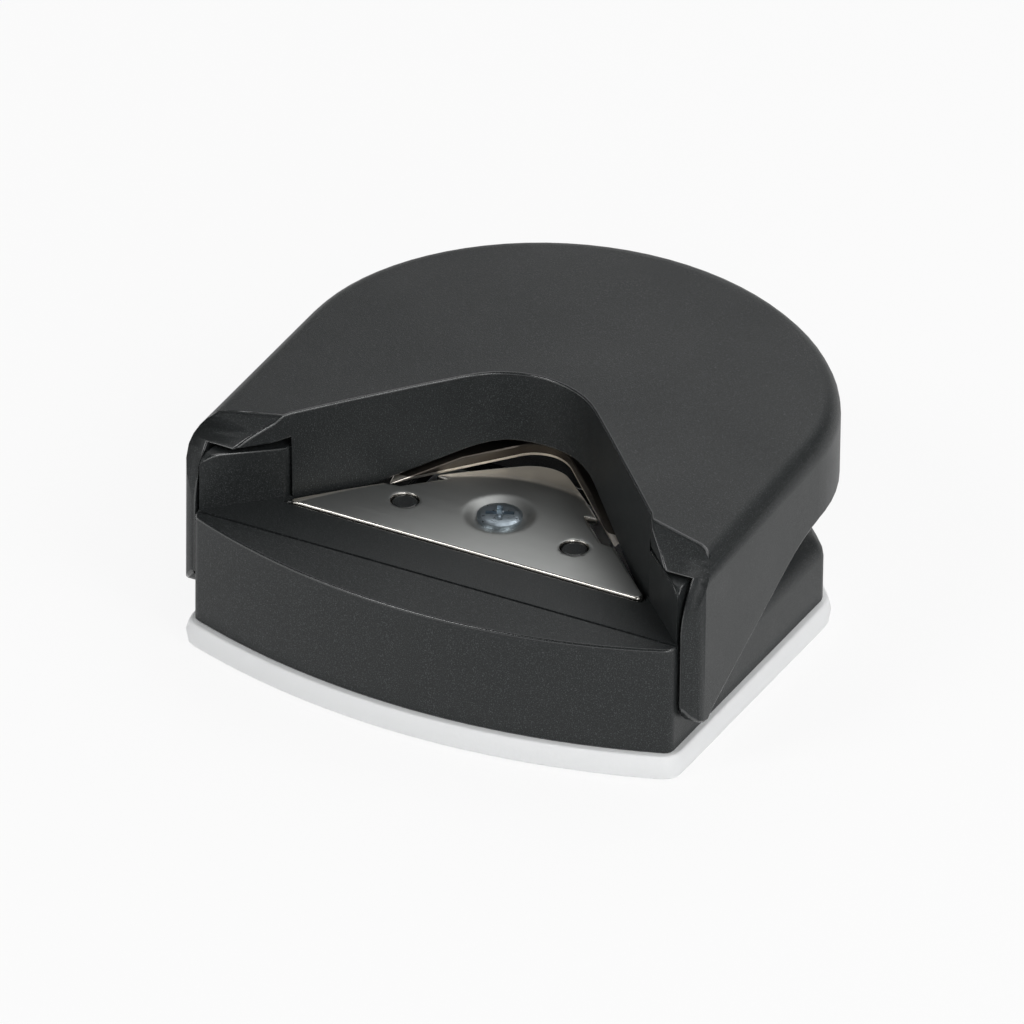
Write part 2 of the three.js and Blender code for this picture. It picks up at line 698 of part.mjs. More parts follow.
function diePlate() {
  const { apex, tip } = dieHalfOutline(0);
  const centre = apex - CUT_RADIUS * Math.SQRT2;
  const tongueStart = apex - CUT_RADIUS / Math.SQRT2;
  const relief = NOTCH_DEPTH * Math.SQRT2;
  const notchFront = DIE_FRONT + NOTCH_START;
  const notchBack = notchFront + NOTCH_LENGTH;
  const edgeAt = (y, depth) => new THREE.Vector2(apex - y - depth, y);
  const straight = Array.from({ length: FILLET_STEPS }, (_, step) => {
    const y = notchBack + ((tongueStart - notchBack) * (step + 1)) / (FILLET_STEPS + 1);
    return edgeAt(y, 0);
  });
  const nose = arc(0, centre, CUT_RADIUS, Math.PI / 4, Math.PI / 2, THROAT_STEPS).slice(0, -1);
  const half = [
    ...tip,
    edgeAt(notchFront, 0),
    edgeAt(notchFront + NOTCH_STEP, relief),
    edgeAt(notchBack - NOTCH_STEP, relief),
    edgeAt(notchBack, 0),
    ...straight,
    ...nose,
  ];
  const bendStart = tongueBendStart();
  const bendAt = (y) => {
    const share = Math.max(0, y - bendStart) / TONGUE_BEND_LENGTH;
    return -TONGUE_DROP * share * share;
  };
  const positions = half.flatMap((p) => {
    const low = DIE_FOOT + bendAt(p.y);
    const high = low + DIE_THICKNESS;
    return [-p.x, p.y, low, p.x, p.y, low, p.x, p.y, high, -p.x, p.y, high];
  });
  const faces = [0, 1, 2, 0, 2, 3];
  half.slice(1).forEach((_, section) => {
    const near = section * 4;
    for (let i = 0; i < 4; i += 1) {
      const next = (i + 1) % 4;
      faces.push(near + i, near + i + 4, near + next + 4);
      faces.push(near + i, near + next + 4, near + next);
    }
  });
  const last = (half.length - 1) * 4;
  faces.push(last, last + 2, last + 1, last, last + 3, last + 2);
  const geometry = new THREE.BufferGeometry();
  geometry.setAttribute('position', new THREE.Float32BufferAttribute(positions, 3));
  geometry.setIndex(faces);

  const rim = DIMPLE_DIAMETER / 2;
  const floor = DIMPLE_FLOOR_DIAMETER / 2;
  const dish = solid(
    revolved([
      [0, -DIMPLE_DEPTH],
      [floor, -DIMPLE_DEPTH],
      [rim, 0],
      [rim, DIE_THICKNESS],
      [floor, DIE_THICKNESS - DIMPLE_DEPTH],
      [0, DIE_THICKNESS - DIMPLE_DEPTH],
    ]).translate(0, DIE_SCREW_PLACE, DIE_FOOT),
  );
  const dishHole = upright(rim, 0, DIE_SCREW_PLACE, DIE_FOOT - OVERRUN, DIE_TOP + OVERRUN);
  const pegHoles = [1, -1].map((side) =>
    upright(
      PEG_HOLE_DIAMETER / 2,
      (side * PEG_SPACING) / 2,
      PEG_PLACE,
      DIE_FOOT - OVERRUN,
      DIE_TOP + OVERRUN,
    ),
  );
  const screwHole = upright(
    (SCREW_SHANK_DIAMETER + SCREW_HOLE_CLEARANCE) / 2,
    0,
    DIE_SCREW_PLACE,
    DIE_FOOT - OVERRUN,
    DIE_TOP + OVERRUN,
  );
  return cut(join(cut(solid(geometry), dishHole), dish), ...pegHoles, screwHole);
}

// Cross-head screw, its seat at the origin and its shank pointing down

function screw(length) {
  const shank = SCREW_SHANK_DIAMETER / 2;
  const head = SCREW_HEAD_DIAMETER / 2;
  const body = solid(
    revolved([
      [0, -length],
      [shank / 2, -length],
      [shank, -length + shank],
      [shank, 0],
      [head, 0],
      [head, SCREW_HEAD_HEIGHT - SCREW_CROWN],
      [head * HEAD_SHOULDER_SHARE, SCREW_HEAD_HEIGHT - SCREW_CROWN * CROWN_STEP_SHARE],
      [0, SCREW_HEAD_HEIGHT],
    ]),
  );
  const slots = [0, Math.PI / 2].map((turn) => {
    const slot = new THREE.BoxGeometry(
      SCREW_CROSS_LENGTH,
      SCREW_CROSS_WIDTH,
      SCREW_CROSS_DEPTH,
    );
    return solid(slot.rotateZ(turn).translate(0, 0, SCREW_HEAD_HEIGHT));
  });
  return cut(body, ...slots);
}

function pivotRod() {
  const reach = LEVER_INNER + SOCKET_DEPTH - ROD_END_FLOAT;
  return crossbar(ROD_DIAMETER / 2, -reach, reach, PIVOT_Y, PIVOT_Z);
}

// Lever cover: a crowned shell with rounded edges, open below and in front, two lobes
// that reach down over the base, and the V throat with its own wall

function leverTopAt(x, y) {
  const rise = (y - LEVER_TOP_PLACE) * Math.tan(LEVER_TOP_SLOPE);
  const past = Math.max(0, y - LEVER_TOP_PLACE);
  const sagAlong = (past * past) / (2 * LEVER_CROWN_RADIUS);
  const sagAcross = (x * x) / (2 * LEVER_CROSS_CROWN_RADIUS);
  return LEVER_TOP + rise - sagAlong - sagAcross;
}

function leverHalf(inset, swell, frontReach) {
  const side = HALF_LEVER - inset;
  const corner = Math.max(LEVER_FRONT_CORNER - inset, LEVER_WALL / 2);
  const depth = LEVER_REAR - LEVER_STRAIGHT_END - inset;
  const front = LEVER_FRONT - frontReach;
  const turn = arc(
    side + swell - corner,
    front + corner,
    corner,
    -Math.PI / 2,
    0,
    CORNER_STEPS + 1,
  );
  const rear = Array.from({ length: ELLIPSE_STEPS + 1 }, (_, step) => {
    const angle = ((Math.PI / 2) * step) / ELLIPSE_STEPS;
    return new THREE.Vector2(
      side * Math.cos(angle),
      LEVER_STRAIGHT_END + depth * Math.sin(angle),
    );
  });
  rear[ELLIPSE_STEPS].x = 0;
  return [new THREE.Vector2(0, front - corner), ...turn, ...rear];
}

function leverBlank(inset, roof, swell, frontReach) {
  const round = LEVER_EDGE_ROUND - roof;
  const rings = [ring(leverHalf(inset, swell, frontReach), () => BASE_FOOT)];
  for (let step = 0; step <= FILLET_STEPS; step += 1) {
    const angle = ((Math.PI / 2) * step) / FILLET_STEPS;
    const half = leverHalf(inset + round * (1 - Math.cos(angle)), swell, frontReach);
    const drop = roof + round * (1 - Math.sin(angle));
    rings.push(ring(half, (x, y) => leverTopAt(x, y) - drop));
  }
  return lofted(rings, (x, y) => leverTopAt(x, y) - roof);
}

// The brow bends the top down into the lobes' front. It starts with a slant that is drawn
// on past the top, so that the crease follows the crown.

function leverBrow(inset) {
  const lobeMiddle = (WELL_HALF_WIDTH + HALF_LEVER) / 2;
  const height = leverTopAt(lobeMiddle, LEVER_BROW_PLACE);
  const crease = new THREE.Vector2(LEVER_BROW_PLACE, height);
  const slope = new THREE.Vector2(LEVER_BROW_PULL, LEVER_BROW_DROP);
  const slant = crease.clone().sub(slope);
  const cheek = new THREE.Vector2(LEVER_FRONT, TABLE_TOP + LEVER_CHEEK_OVER_TABLE);
  const swell = new THREE.Vector2(cheek.x, cheek.y + LEVER_CHEEK_PULL);
  const curve = new THREE.CubicBezierCurve(crease, slant, swell, cheek);
  const above = crease.clone().addScaledVector(slope, 2);
  const shift = new THREE.Vector2(inset, -inset);
  return [above, ...curve.getPoints(2 * FILLET_STEPS)].map((p) => p.add(shift));
}

function leverProfile() {
  const front = LEVER_FRONT;
  const brow = leverBrow(0);
  const foot = BASE_FOOT + LOBE_FOOT;
  const toe = arc(
    front + LOBE_FRONT_ROUND,
    foot + LOBE_FRONT_ROUND,
    LOBE_FRONT_ROUND,
    -Math.PI,
    -Math.PI / 2,
    FILLET_STEPS,
  );
  const risen = new THREE.Vector2(SKIRT_RISE_PLACE, TABLE_TOP - SKIRT_RISE_BELOW_TABLE);
  const level = new THREE.Vector2(SKIRT_REAR_PLACE, TABLE_TOP + SKIRT_REAR_OVER_TABLE);
  const heel = new THREE.Vector2(LOBE_BACK_PLACE, foot + LOBE_HEEL_RISE);
  const slope = (risen.y - heel.y) / (risen.x - heel.x);
  const bend = new THREE.Vector2(risen.x + (level.y - risen.y) / slope, level.y);
  const sweep = new THREE.QuadraticBezierCurve(risen, bend, level).getPoints(FILLET_STEPS);
  const beyond = LEVER_REAR + OVERRUN;
  return [
    ...toe,
    heel,
    ...sweep,
    new THREE.Vector2(beyond, level.y),
    new THREE.Vector2(beyond, SKY),
    new THREE.Vector2(brow[0].x, SKY),
    ...brow,
  ];
}

function roofOverPost(y) {
  const level = PIVOT_Z + POST_HEIGHT_OVER_PIVOT + POST_HEADROOM;
  return level + (y - PIVOT_Y) * Math.tan(POST_ROOF_SLOPE);
}

function cavityProfile() {
  const brow = leverBrow(LEVER_ROOF).filter((p) => p.y > roofOverPost(p.x));
  const browFoot = brow[brow.length - 1].x;
  const open = -BASE_FRONT_BOW - LEVER_FRONT_CORNER;
  const beyond = LEVER_REAR + OVERRUN;
  return [
    new THREE.Vector2(open, 0),
    new THREE.Vector2(beyond, 0),
    new THREE.Vector2(beyond, SKY),
    new THREE.Vector2(brow[0].x, SKY),
    ...brow,
    new THREE.Vector2(browFoot, roofOverPost(browFoot)),
    new THREE.Vector2(open, roofOverPost(open)),
  ];
}

function throatLine(offset, reach) {
  const apex = THROAT_APEX + offset * Math.SQRT2;
  const jogged = apex - THROAT_JOG * Math.SQRT2;
  const end = THROAT_END - offset;
  const start = end + THROAT_JOG_LENGTH;
  return [
    new THREE.Vector2(reach, jogged - reach),
    new THREE.Vector2(start, jogged - start),
    ...veePoints(apex, THROAT_ROUND + offset, end, THROAT_STEPS),
    new THREE.Vector2(-start, jogged - start),
    new THREE.Vector2(-reach, jogged - reach),
  ];
}

function throatOpening() {
  const front = -BASE_FRONT_BOW - LEVER_FRONT_CORNER;
  return prism(
    [
      ...throatLine(0, LEVER_INNER),
      new THREE.Vector2(-LEVER_INNER, front),
      new THREE.Vector2(LEVER_INNER, front),
    ],
    0,
    SKY,
  );
}

// The throat wall's foot climbs from its ends to its apex, where it runs level

function throatFootProfile(lift) {
  const foot = TABLE_TOP + THROAT_FOOT_OVER_TABLE + lift;
  const start = foot - THROAT_FOOT_PLACE * Math.tan(THROAT_FOOT_SLOPE);
  return [
    new THREE.Vector2(0, start),
    new THREE.Vector2(THROAT_FOOT_PLACE, foot),
    new THREE.Vector2(LEVER_REAR, foot),
    new THREE.Vector2(LEVER_REAR, SKY),
    new THREE.Vector2(0, SKY),
  ];
}

function throatWall() {
  const reach = LEVER_INNER + OVERRUN;
  const near = throatLine(0, reach);
  const far = throatLine(THROAT_WALL, reach).reverse();
  const band = prism([...near, ...far], 0, SKY);
  const aboveBlade = across(throatFootProfile(0), -THROAT_END, THROAT_END);
  const abovePosts = across(
    [
      new THREE.Vector2(0, roofOverPost(0)),
      new THREE.Vector2(LEVER_REAR, roofOverPost(LEVER_REAR)),
      new THREE.Vector2(LEVER_REAR, SKY),
      new THREE.Vector2(0, SKY),
    ],
    -reach,
    reach,
  );
  return join(band.intersect(aboveBlade), band.intersect(abovePosts));
}

function leverRib(x) {
  const low = (y) => leverTopAt(x, y) - LEVER_ROOF - RIB_DEPTH;
  const rear = LEVER_REAR;
  const half = RIB_THICKNESS / 2;
  return across(
    [
      new THREE.Vector2(RIB_START, low(RIB_START)),
      new THREE.Vector2(rear, low(rear)),
      new THREE.Vector2(rear, SKY),
      new THREE.Vector2(RIB_START, SKY),
    ],
    x - half,
    x + half,
  );
}

// Places a form drawn level, with its origin on the pivot axis, as the raised lever holds it

function raised(geometry) {
  return geometry.rotateX(LEVER_LIFT).translate(0, PIVOT_Y, PIVOT_Z);
}

const BLADE_LOW = bladeLowLevel();
const BLADE_TOP = BLADE_LOW + BLADE_THICKNESS;

function bladeLowLevel() {
  const run = BLADE_EDGE_PLACE - PIVOT_Y;
  const rise = TABLE_TOP + BLADE_EDGE_OVER_TABLE - PIVOT_Z;
  return rise * Math.cos(LEVER_LIFT) - run * Math.sin(LEVER_LIFT);
}

function bladeBoss(side) {
  const height = LEVER_TOP_OVER_TABLE - BLADE_EDGE_OVER_TABLE;
  const radius = BOSS_DIAMETER / 2;
  const boss = new THREE.CylinderGeometry(radius, radius, height, ROUND_STEPS);
  boss.rotateX(Math.PI / 2);
  boss.translate(
    (side * BLADE_SCREW_SPACING) / 2,
    BLADE_SCREW_PLACE - PIVOT_Y,
    BLADE_TOP + BLADE_SEAT_GAP + height / 2,
  );
  return solid(raised(boss));
}

function bladeBossPilot(side) {
  const radius = (SCREW_SHANK_DIAMETER + SCREW_HOLE_CLEARANCE) / 2;
  const depth = BLADE_SCREW_LENGTH;
  const pilot = new THREE.CylinderGeometry(radius, radius, depth, ROUND_STEPS);
  pilot.rotateX(Math.PI / 2);
  pilot.translate(
    (side * BLADE_SCREW_SPACING) / 2,
    BLADE_SCREW_PLACE - PIVOT_Y,
    BLADE_LOW + SCREW_HOLE_CLEARANCE + depth / 2,
  );
  return solid(raised(pilot));
}

function leverCover() {
  const outside = leverBlank(0, 0, LEVER_SWELL, 0).intersect(
    across(leverProfile(), -HALF_LEVER - OVERRUN, HALF_LEVER + OVERRUN),
  );
  const cavity = leverBlank(LEVER_WALL, LEVER_ROOF, 0, BASE_FRONT_BOW).intersect(
    across(cavityProfile(), -HALF_LEVER, HALF_LEVER),
  );
  const shell = cut(outside, cavity);
  const ceiling = leverTopAt(0, SPRING_PLACE) - LEVER_ROOF;
  const cupInner = SPRING_DIAMETER / 2 + SPRING_POST_CLEARANCE;
  const cup = cut(
    upright(cupInner + SPRING_CUP_WALL, 0, SPRING_PLACE, ceiling - SPRING_CUP_DEPTH, SKY),
    upright(cupInner, 0, SPRING_PLACE, 0, ceiling),
  );
  const inner = join(
    throatWall(),
    bladeBoss(1),
    bladeBoss(-1),
    cup,
    leverRib(RIB_SPACING / 2),
    leverRib(-RIB_SPACING / 2),
  ).intersect(outside);
  const sockets = crossbar(
    ROD_DIAMETER / 2 + ROD_RUNNING_CLEARANCE,
    -LEVER_INNER - SOCKET_DEPTH,
    LEVER_INNER + SOCKET_DEPTH,
    PIVOT_Y,
    PIVOT_Z,
  );
  return cut(
    join(shell, inner),
    throatOpening(),
    sockets,
    bladeBossPilot(1),
    bladeBossPilot(-1),
  );
}

// Moving blade: a V-shaped steel plate whose inner edge passes close behind the die

function movingBlade() {
  const gap = BLADE_SHEAR_GAP;
  const apex = DIE_APEX + gap * Math.SQRT2 - PIVOT_Y;
  const outer = apex + BLADE_ARM_WIDTH * Math.SQRT2;
  const end = BLADE_ARM_END;
  const heel = BLADE_HEEL_HALF_WIDTH;
  const rear = BLADE_REAR - PIVOT_Y;
  const inside = veePoints(apex, CUT_RADIUS + gap, end, THROAT_STEPS);
  const outline = [
    ...inside.reverse(),
    new THREE.Vector2(end, outer - end),
    new THREE.Vector2(heel, outer - heel),
    new THREE.Vector2(heel, rear),
    new THREE.Vector2(-heel, rear),
    new THREE.Vector2(-heel, outer - heel),
    new THREE.Vector2(-end, outer - end),
  ];
  const shape = new THREE.Shape(outline);
  [1, -1].forEach((side) => {
    const hole = new THREE.Path();
    hole.absarc(
      (side * BLADE_SCREW_SPACING) / 2,
      BLADE_SCREW_PLACE - PIVOT_Y,
      (SCREW_SHANK_DIAMETER + SCREW_HOLE_CLEARANCE) / 2,
      0,
      2 * Math.PI,
      true,
    );
    shape.holes.push(hole);
  });
  const plate = new THREE.ExtrudeGeometry(shape, {
    depth: BLADE_THICKNESS,
    bevelEnabled: false,
    curveSegments: FILLET_STEPS,
  });
  const ground = across(throatFootProfile(-BLADE_TOP_CLEARANCE), -HALF_BASE, HALF_BASE);
  return cut(solid(raised(plate.translate(0, 0, BLADE_LOW))), ground);
}

// Return spring: round wire, closed at both ends, wound as one unbroken tube

function springPath(low, high) {
  const radius = (SPRING_DIAMETER - SPRING_WIRE) / 2;
  const start = low + SPRING_WIRE / 2 + SPRING_SEAT_GAP;
  const finish = high - SPRING_WIRE / 2 - SPRING_SEAT_GAP;
  const closedPitch = SPRING_WIRE + SPRING_CLOSED_GAP;
  const closedRise = closedPitch * SPRING_CLOSED_TURNS;
  const openTurns = SPRING_TURNS - 2 * SPRING_CLOSED_TURNS;
  const openRise = finish - start - 2 * closedRise;
  const heightAt = (turn) => {
    if (turn < SPRING_CLOSED_TURNS) return start + closedPitch * turn;
    const left = SPRING_TURNS - turn;
    if (left < SPRING_CLOSED_TURNS) return finish - closedPitch * left;
    return start + closedRise + (openRise * (turn - SPRING_CLOSED_TURNS)) / openTurns;
  };
  const count = SPRING_TURNS * SPRING_STEPS;
  const coil = Array.from({ length: count + 1 }, (_, step) => {
    const turn = step / SPRING_STEPS;
    const angle = 2 * Math.PI * turn;
    return new THREE.Vector3(
      radius * Math.cos(angle),
      SPRING_PLACE + radius * Math.sin(angle),
      heightAt(turn),
    );
  });
  const first = coil[0].clone().add(new THREE.Vector3(0, -SPRING_WIRE, 0));
  const last = coil[count].clone().add(new THREE.Vector3(0, SPRING_WIRE, 0));
  return [first, ...coil, last];
}

function wireTube(path) {
  const radius = SPRING_WIRE / 2;
  const positions = [];
  const faces = [];
  path.forEach((point, i) => {
    const before = path[Math.max(i - 1, 0)];
    const after = path[Math.min(i + 1, path.length - 1)];
    const along = after.clone().sub(before).normalize();
    const side = new THREE.Vector3().crossVectors(along, new THREE.Vector3(0, 0, 1)).normalize();
    const up = new THREE.Vector3().crossVectors(side, along);
    for (let k = 0; k < SPRING_SIDES; k += 1) {
      const angle = (2 * Math.PI * k) / SPRING_SIDES - Math.PI / 2;
      const corner = point
        .clone()
        .addScaledVector(side, radius * Math.cos(angle))
        .addScaledVector(up, radius * Math.sin(angle));
      positions.push(corner.x, corner.y, corner.z);
    }
    if (i === 0) return;
    const low = (i - 1) * SPRING_SIDES;
    for (let k = 0; k < SPRING_SIDES; k += 1) {
      const next = (k + 1) % SPRING_SIDES;
      const far = low + SPRING_SIDES;
      faces.push(low + k, far + k, far + next);
      faces.push(low + k, far + next, low + next);
    }
  });
  const last = (path.length - 1) * SPRING_SIDES;
  for (let k = 1; k < SPRING_SIDES - 1; k += 1) {
    faces.push(0, k, k + 1);
    faces.push(last, last + k + 1, last + k);
  }
  const geometry = new THREE.BufferGeometry();
  geometry.setAttribute('position', new THREE.Float32BufferAttribute(positions, 3));
  geometry.setIndex(faces);
  return geometry;
}

function leastGap(path) {
  let least = Infinity;
  path.forEach((a, i) => {
    path.slice(i + SPRING_STEPS / 2).forEach((b) => {
      least = Math.min(least, a.distanceTo(b) - SPRING_WIRE);
    });
  });
  return least;
}

function returnSpring() {
  const path = springPath(DECK_TOP, leverTopAt(0, SPRING_PLACE) - LEVER_ROOF);
  console.log(`return_spring: least gap between turns ${leastGap(path).toFixed(2)} mm`);
  return wireTube(path);
}

// Materials

function finish(colour, roughness, metalness) {
  return new THREE.MeshStandardMaterial({ color: colour, roughness, metalness });
}

const blackPlastic = finish(0x1d1f1e, 0.55, 0);
const frostedPlastic = finish(0xdfe8ec, 0.35, 0);
const satinSteel = finish(0x9a9892, 0.35, 1);
const groundSteel = finish(0x7d7873, 0.3, 1);
const zincSteel = finish(0xa3aeb8, 0.4, 1);
const springSteel = finish(0x8e9196, 0.35, 1);

// Assembly

const punch = new THREE.Group();
const lever = new THREE.Group();
punch.add(lever);

function place(group, name, geometry, material) {
  const mesh = new THREE.Mesh(geometry, material);
  mesh.name = name;
  group.add(mesh);
  return mesh;
}

place(punch, 'chip_tray', shape3d(chipTray()), frostedPlastic);
place(punch, 'base_body', shape3d(baseBody()), blackPlastic);
place(punch, 'die_plate', shape3d(diePlate()), satinSteel);
place(punch, 'pivot_rod', shape3d(pivotRod()), zincSteel);
place(punch, 'return_spring', returnSpring(), springSteel);

const dieScrew = place(punch, 'die_plate_screw', shape3d(screw(DIE_SCREW_LENGTH)), zincSteel);
dieScrew.position.set(0, DIE_SCREW_PLACE, DIE_TOP - DIMPLE_DEPTH);

place(lever, 'lever_cover', shape3d(leverCover()), blackPlastic);
place(lever, 'moving_blade', shape3d(movingBlade()), groundSteel);

[
  ['left', -1],
  ['right', 1],
].forEach(([name, side]) => {
  const geometry = shape3d(screw(BLADE_SCREW_LENGTH));
  const bladeScrew = place(lever, `blade_screw_${name}`, geometry, zincSteel);
  const seat = new THREE.Vector3(
    (side * BLADE_SCREW_SPACING) / 2,
    BLADE_SCREW_PLACE - PIVOT_Y,
    BLADE_LOW - BLADE_SEAT_GAP,
  );
  seat.applyAxisAngle(new THREE.Vector3(1, 0, 0), LEVER_LIFT);
  bladeScrew.position.set(seat.x, seat.y + PIVOT_Y, seat.z + PIVOT_Z);
  bladeScrew.rotation.x = Math.PI + LEVER_LIFT;
});

export default punch;
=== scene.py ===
# Corner punch, dressed piece by piece in the order in which it is put together: the clear
# chip tray, the black base, the steel die plate and its screw, the pivot rod, the return
# spring, the black lever with its throat, the moving blade and the blade's two screws.
# Metres, +Z up, the punch's front towards -Y.

import math

import bmesh
import bpy
from mathutils import Matrix, Vector
from mathutils.geometry import delaunay_2d_cdt
from mathutils.kdtree import KDTree


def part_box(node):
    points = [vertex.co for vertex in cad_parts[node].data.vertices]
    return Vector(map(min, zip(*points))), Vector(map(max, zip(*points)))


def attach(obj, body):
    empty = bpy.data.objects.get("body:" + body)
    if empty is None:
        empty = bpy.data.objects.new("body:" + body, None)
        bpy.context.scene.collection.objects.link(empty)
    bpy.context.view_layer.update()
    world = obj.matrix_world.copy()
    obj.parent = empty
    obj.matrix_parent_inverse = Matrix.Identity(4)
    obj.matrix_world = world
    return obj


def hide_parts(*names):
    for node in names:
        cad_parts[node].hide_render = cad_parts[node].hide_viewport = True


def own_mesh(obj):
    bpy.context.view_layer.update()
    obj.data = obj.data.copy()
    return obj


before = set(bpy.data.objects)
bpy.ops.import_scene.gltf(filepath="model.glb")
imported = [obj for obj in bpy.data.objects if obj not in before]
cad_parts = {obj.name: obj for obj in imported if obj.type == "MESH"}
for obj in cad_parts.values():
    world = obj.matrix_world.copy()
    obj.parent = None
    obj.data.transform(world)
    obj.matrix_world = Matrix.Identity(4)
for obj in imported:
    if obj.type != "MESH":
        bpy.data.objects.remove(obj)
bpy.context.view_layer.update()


# Chip tray. A frosted clear moulding, pushed into the base from below. Its flange
# carries a fine ridge all round, and that is all that shows once it is in place.

TRAY_EDGE = 0.00022
TRAY_TINT = (0.97, 0.98, 0.985)
TRAY_SPECKLE = (0.97, 0.98, 0.99)
TRAY_CLEARNESS = 0.10
TRAY_IOR = 1.49
SPARK_CONTRAST = 8.0
SPARK_FLOOR = 0.25
SPARK_SHEEN = 0.6
PIT_DEPTH = 0.6
SHEEN_SCALE = 90.0
SAME_POINT = 0.00002
SAME_PLANE = math.radians(0.6)
SHARP_TURN = math.radians(28)
CORNER_TURN = math.radians(50)
SMOOTH_TURN = math.radians(35)
# A sharp edge wants this many roundings of room, and is rounded from this share of it up.
EDGE_ROOM = 2.4
ENOUGH_ROOM = 0.72


def place_object(name, data):
    piece = bpy.data.objects.new(name, data)
    bpy.context.scene.collection.objects.link(piece)
    return piece


def new_material(name):
    material = bpy.data.materials.new(name)
    material.use_nodes = True
    tree = material.node_tree
    return material, tree, tree.nodes["Principled BSDF"]


def add_node(tree, kind, **settings):
    node = tree.nodes.new(kind)
    for key, value in settings.items():
        setattr(node, key, value)
    return node


def link(tree, source, target):
    tree.links.new(source, target)


def maths(tree, operation, first, second=None, third=None):
    """A maths node's result; each value is a number or another node's output."""
    node = add_node(tree, "ShaderNodeMath", operation=operation)
    for index, value in enumerate((first, second, third)):
        if value is None:
            continue
        if isinstance(value, (int, float)):
            node.inputs[index].default_value = value
        else:
            link(tree, value, node.inputs[index])
    return node.outputs[0]


def new_group(name, inputs, outputs):
    tree = bpy.data.node_groups.new(name, "ShaderNodeTree")
    for label, kind, value in inputs:
        socket = tree.interface.new_socket(label, in_out="INPUT", socket_type=kind)
        if value is not None:
            socket.default_value = value
    for label, kind in outputs:
        tree.interface.new_socket(label, in_out="OUTPUT", socket_type=kind)
    return tree, tree.nodes.new("NodeGroupInput"), tree.nodes.new("NodeGroupOutput")


def moulding_grain():
    """Fine spark-eroded grain of a moulded surface, with a broad, faint change of sheen."""
    tree, given, result = new_group(
        "Moulding Grain",
        [
            ("Place", "NodeSocketVector", None),
            ("Colour", "NodeSocketColor", (0.02, 0.02, 0.02, 1)),
            ("Speckle Colour", "NodeSocketColor", (0.06, 0.06, 0.06, 1)),
            ("Grain Size", "NodeSocketFloat", 0.00025),
            ("Speckle", "NodeSocketFloat", 0.3),
            ("Roughness", "NodeSocketFloat", 0.5),
            ("Roughness Change", "NodeSocketFloat", 0.1),
        ],
        [
            ("Colour", "NodeSocketColor"),
            ("Roughness", "NodeSocketFloat"),
            ("Height", "NodeSocketFloat"),
        ],
    )
    scale = maths(tree, "DIVIDE", 1.0, given.outputs["Grain Size"])
    pits = add_node(tree, "ShaderNodeTexVoronoi", feature="F1")
    link(tree, given.outputs["Place"], pits.inputs["Vector"])
    link(tree, scale, pits.inputs["Scale"])
    fine = add_node(tree, "ShaderNodeTexNoise")
    fine.inputs["Detail"].default_value = 3.0
    link(tree, given.outputs["Place"], fine.inputs["Vector"])
    link(tree, scale, fine.inputs["Scale"])
    broad = add_node(tree, "ShaderNodeTexNoise")
    broad.inputs["Scale"].default_value = SHEEN_SCALE
    broad.inputs["Detail"].default_value = 4.0
    link(tree, given.outputs["Place"], broad.inputs["Vector"])
    peaks = maths(tree, "SUBTRACT", fine.outputs["Fac"], 0.5)
    spark = maths(tree, "MULTIPLY_ADD", peaks, SPARK_CONTRAST, -SPARK_FLOOR)
    spark = maths(tree, "MAXIMUM", spark, 0.0)
    spark = maths(tree, "MULTIPLY", spark, given.outputs["Speckle"])
    spark = maths(tree, "MINIMUM", spark, 1.0)
    mix = add_node(tree, "ShaderNodeMix", data_type="RGBA")
    link(tree, spark, mix.inputs["Factor"])
    link(tree, given.outputs["Colour"], mix.inputs["A"])
    link(tree, given.outputs["Speckle Colour"], mix.inputs["B"])
    link(tree, mix.outputs["Result"], result.inputs["Colour"])
    sheen = maths(tree, "SUBTRACT", broad.outputs["Fac"], 0.5)
    sheen = maths(tree, "ADD", sheen, maths(tree, "MULTIPLY", peaks, SPARK_SHEEN))
    rough = maths(
        tree,
        "MULTIPLY_ADD",
        sheen,
        given.outputs["Roughness Change"],
        given.outputs["Roughness"],
    )
    link(tree, rough, result.inputs["Roughness"])
    deep = pits.outputs["Distance"]
    height = maths(tree, "MULTIPLY_ADD", deep, PIT_DEPTH, fine.outputs["Fac"])
    link(tree, height, result.inputs["Height"])
    return tree


MOULDING_GRAIN = moulding_grain()


def place_group(tree, group, **values):
    """A shared effect in object coordinates, with this material's own values."""
    node = add_node(tree, "ShaderNodeGroup", node_tree=group)
    place = add_node(tree, "ShaderNodeTexCoord")
    link(tree, place.outputs["Object"], node.inputs["Place"])
    for key, value in values.items():
        node.inputs[key.replace("_", " ")].default_value = value
    return node


def finish_from(tree, shader, group_node, depth):
    """The shader takes its colour, its roughness and a relief this deep from the effect."""
    link(tree, group_node.outputs["Colour"], shader.inputs["Base Color"])
    link(tree, group_node.outputs["Roughness"], shader.inputs["Roughness"])
    bump = add_node(tree, "ShaderNodeBump")
    bump.inputs["Strength"].default_value = 1.0
    bump.inputs["Distance"].default_value = depth
    link(tree, group_node.outputs["Height"], bump.inputs["Height"])
    link(tree, bump.outputs["Normal"], shader.inputs["Normal"])


